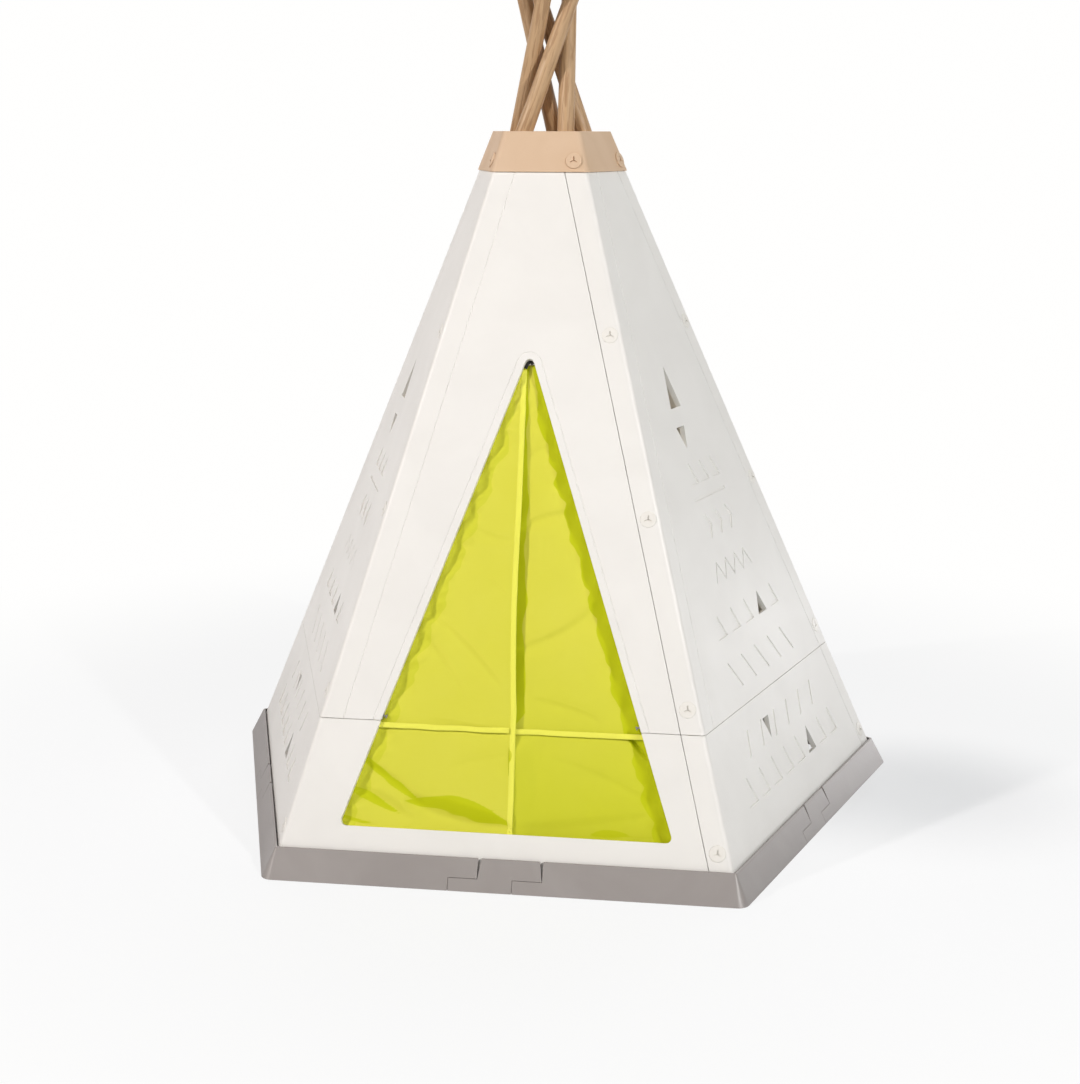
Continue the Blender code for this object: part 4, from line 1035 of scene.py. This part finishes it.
def tape_mesh(name, sections, lengths):
    """Closed tape through its sections, with texture places along and round it."""
    bm = bmesh.new()
    layer = bm.loops.layers.uv.new("cloth")
    rings = [[bm.verts.new(point) for point in section] for section in sections]
    count = len(rings[0])
    for i, (low, high) in enumerate(zip(rings, rings[1:])):
        for j in range(count):
            k = (j + 1) % count
            face = bm.faces.new((low[j], low[k], high[k], high[j]))
            for loop, (row, column) in zip(face.loops, ((i, j), (i, j + 1), (i + 1, j + 1), (i + 1, j))):
                loop[layer].uv = (TAPE_WIDTH * 2 * column / count, lengths[row])
    bm.faces.new(rings[0])
    bm.faces.new(rings[-1])
    bmesh.ops.recalc_face_normals(bm, faces=bm.faces)
    mesh = bpy.data.meshes.new(name)
    bm.to_mesh(mesh)
    bm.free()
    mesh.shade_smooth()
    mesh.set_sharp_from_angle(angle=TAPE_EDGE_ANGLE)
    return mesh


def binding_mesh():
    """Tape over the left half's free edge, from the foot to the head."""
    length = HEADS[LEFT] - CURTAIN_FOOT
    count = round(length / TAPE_STEP)
    sections = []
    lengths = []
    for i in range(count + 1):
        distance = CURTAIN_FOOT + length * i / count
        middle = half_width(LEFT, distance) + TAPE_OVERHANG - TAPE_WIDTH / 2
        middle += TAPE_WAVER * ripple(TAPE_RIPPLE, LEFT, middle, distance)
        across = cloth_spot(LEFT, middle + PROBE, distance) - cloth_spot(LEFT, middle - PROBE, distance)
        end = min(1, (count - i + 1) / TAPE_TIP)
        half = TAPE_WIDTH / 2 * math.sqrt(1 - (1 - end) ** 2)
        spot = cloth_spot(LEFT, middle, distance)
        sections.append(tape_section(spot, across.normalized(), half, TAPE_HALF_THICKNESS))
        lengths.append(distance)
    return tape_mesh("binding", sections, lengths)


tape_cloth = woven_cloth("tape_cloth", TAPE_LIME, TAPE_SHADE, TAPE_PITCH, sheen=0.15)
binding = new_piece("edge_binding", binding_mesh(), tape_cloth)
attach(binding, "left_flap")


# Peak shade strip
# A short black strip along the upper left of the door's peak, on the shell. It is painted shade:
# a dark piece put where the small gap over the curtain's heads lies in shadow.

LOOP_PATH = (                 # right of the door's middle, below the slanted edges' meeting point
    (0.0050, 0.0245),
    (0.0022, 0.0208),
    (-0.0014, 0.0205),
    (-0.0042, 0.0238),
    (-0.0062, 0.0280),
    (-0.0076, 0.0325),
)
LOOP_WIDTH = 0.0062
LOOP_THICKNESS = 0.0012
LOOP_DEPTH = 0.0086
LOOP_PITCH = 0.0008
# Near-black of the painted shade in the gap over the heads.
PEAK_SHADE_BLACK = (0.012, 0.012, 0.011, 1)
PEAK_SHADE_GREY = (0.03, 0.03, 0.028, 1)


def peak_shade_mesh():
    """Tape along the loop's path, square to it and flat against the wall."""
    spots = [Vector((x, DOOR_PEAK - drop, -LOOP_DEPTH)) for x, drop in LOOP_PATH]
    sections = []
    for i, spot in enumerate(spots):
        ahead = spots[min(i + 1, len(spots) - 1)] - spots[max(i - 1, 0)]
        across = FRONT_WALL.to_3x3() @ Vector((-ahead.y, ahead.x, 0)).normalized()
        sections.append(tape_section(FRONT_WALL @ spot, across, LOOP_WIDTH / 2, LOOP_THICKNESS / 2))
    return tape_mesh("loop", sections, [drop for _, drop in LOOP_PATH])


# Painted shade: a near-black cloth over the shadowed gap.
peak_shade_cloth = woven_cloth("peak_shade_cloth", PEAK_SHADE_BLACK, PEAK_SHADE_GREY, LOOP_PITCH, sheen=0.02)
loop = new_piece("peak_shade_strip", peak_shade_mesh(), peak_shade_cloth)
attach(loop, "shell")


# Tie straps
# A narrow strap of the same tape lies across each half, level with the joint between the wall
# panels. It is sewn down at its inner end and buttons onto a peg on the door's edge.

STRAP_WIDTH = 0.0092
STRAP_HALF_THICKNESS = 0.0007
STRAP_LEVEL = 0.2130          # just below the joint between the wall panels
STRAP_CLEARANCE = 0.0018
STRAP_STEP = 0.005
STRAP_HIDDEN = 0.004          # part behind the door's rim
STRAP_TUCKS = {LEFT: 0.0095, RIGHT: 0.0010}   # from the free edge to the inner end
STRAP_WAVER = 0.0012          # up and down
STRAP_WAVE = 0.0009           # out of the cloth
STRAP_WAVE_RUN = 0.02
LEVEL_RIPPLE = ((25, 0, 0, 0), (0, 0, 7, 0), (0, 0, 0, 0))
WAVE_RIPPLE = ((60, 0, 0, 0), (0, 0, 2, 0), (0, 0, 0, 1))
UPWARD = FRONT_WALL.to_3x3() @ Vector((0, 1, 0))


def strap_mesh(hand):
    """Tape level across one half, just clear of the cloth."""
    start = -STRAP_HIDDEN
    end = half_width(hand, STRAP_LEVEL) - STRAP_TUCKS[hand]
    count = round((end - start) / STRAP_STEP)
    sections = []
    lengths = []
    lift = STRAP_HALF_THICKNESS + CLOTH_THICKNESS / 2 + STRAP_CLEARANCE
    for i in range(count + 1):
        across = start + (end - start) * i / count
        level = STRAP_LEVEL + STRAP_WAVER * ripple(LEVEL_RIPPLE, hand, across, STRAP_LEVEL)
        swell = 1 + ripple(WAVE_RIPPLE, hand, across, STRAP_LEVEL)
        wave = STRAP_WAVE * swell * ease(across / STRAP_WAVE_RUN)
        highest = min(cloth_depth(hand, across, level + share * STRAP_WIDTH / 2) for share in (-1, 0, 1))
        x = hand * (fold_line(level) - across)
        middle = FRONT_WALL @ Vector((x, level, lift + wave - highest))
        sections.append(tape_section(middle, UPWARD, STRAP_WIDTH / 2, STRAP_HALF_THICKNESS))
        lengths.append(across)
    return tape_mesh(f"strap_{hand}", sections, lengths)


for label, hand in HANDS.items():
    strap = new_piece(f"strap_{label}", strap_mesh(hand), tape_cloth)
    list(bend_points(hand))
    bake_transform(strap)
    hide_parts(f"tie_strap_{label}")


# Strap pegs
# Two small dark grey plastic buttons, each moulded in one piece and pressed into the door's edge
# just above the panels' joint.

PEG_GREY = (0.25, 0.24, 0.22, 1)
PEG_PALE = (0.30, 0.29, 0.27, 1)
PEG_ROUNDING = 0.0005

peg_plastic = moulded_plastic("peg_plastic", PEG_GREY, PEG_PALE, grain=1500, depth=0.0002,
                              roughness=0.35)
for label in HANDS:
    moulded(f"strap_peg_{label}", f"peg_{label}", PEG_ROUNDING, peg_plastic, segments=3)
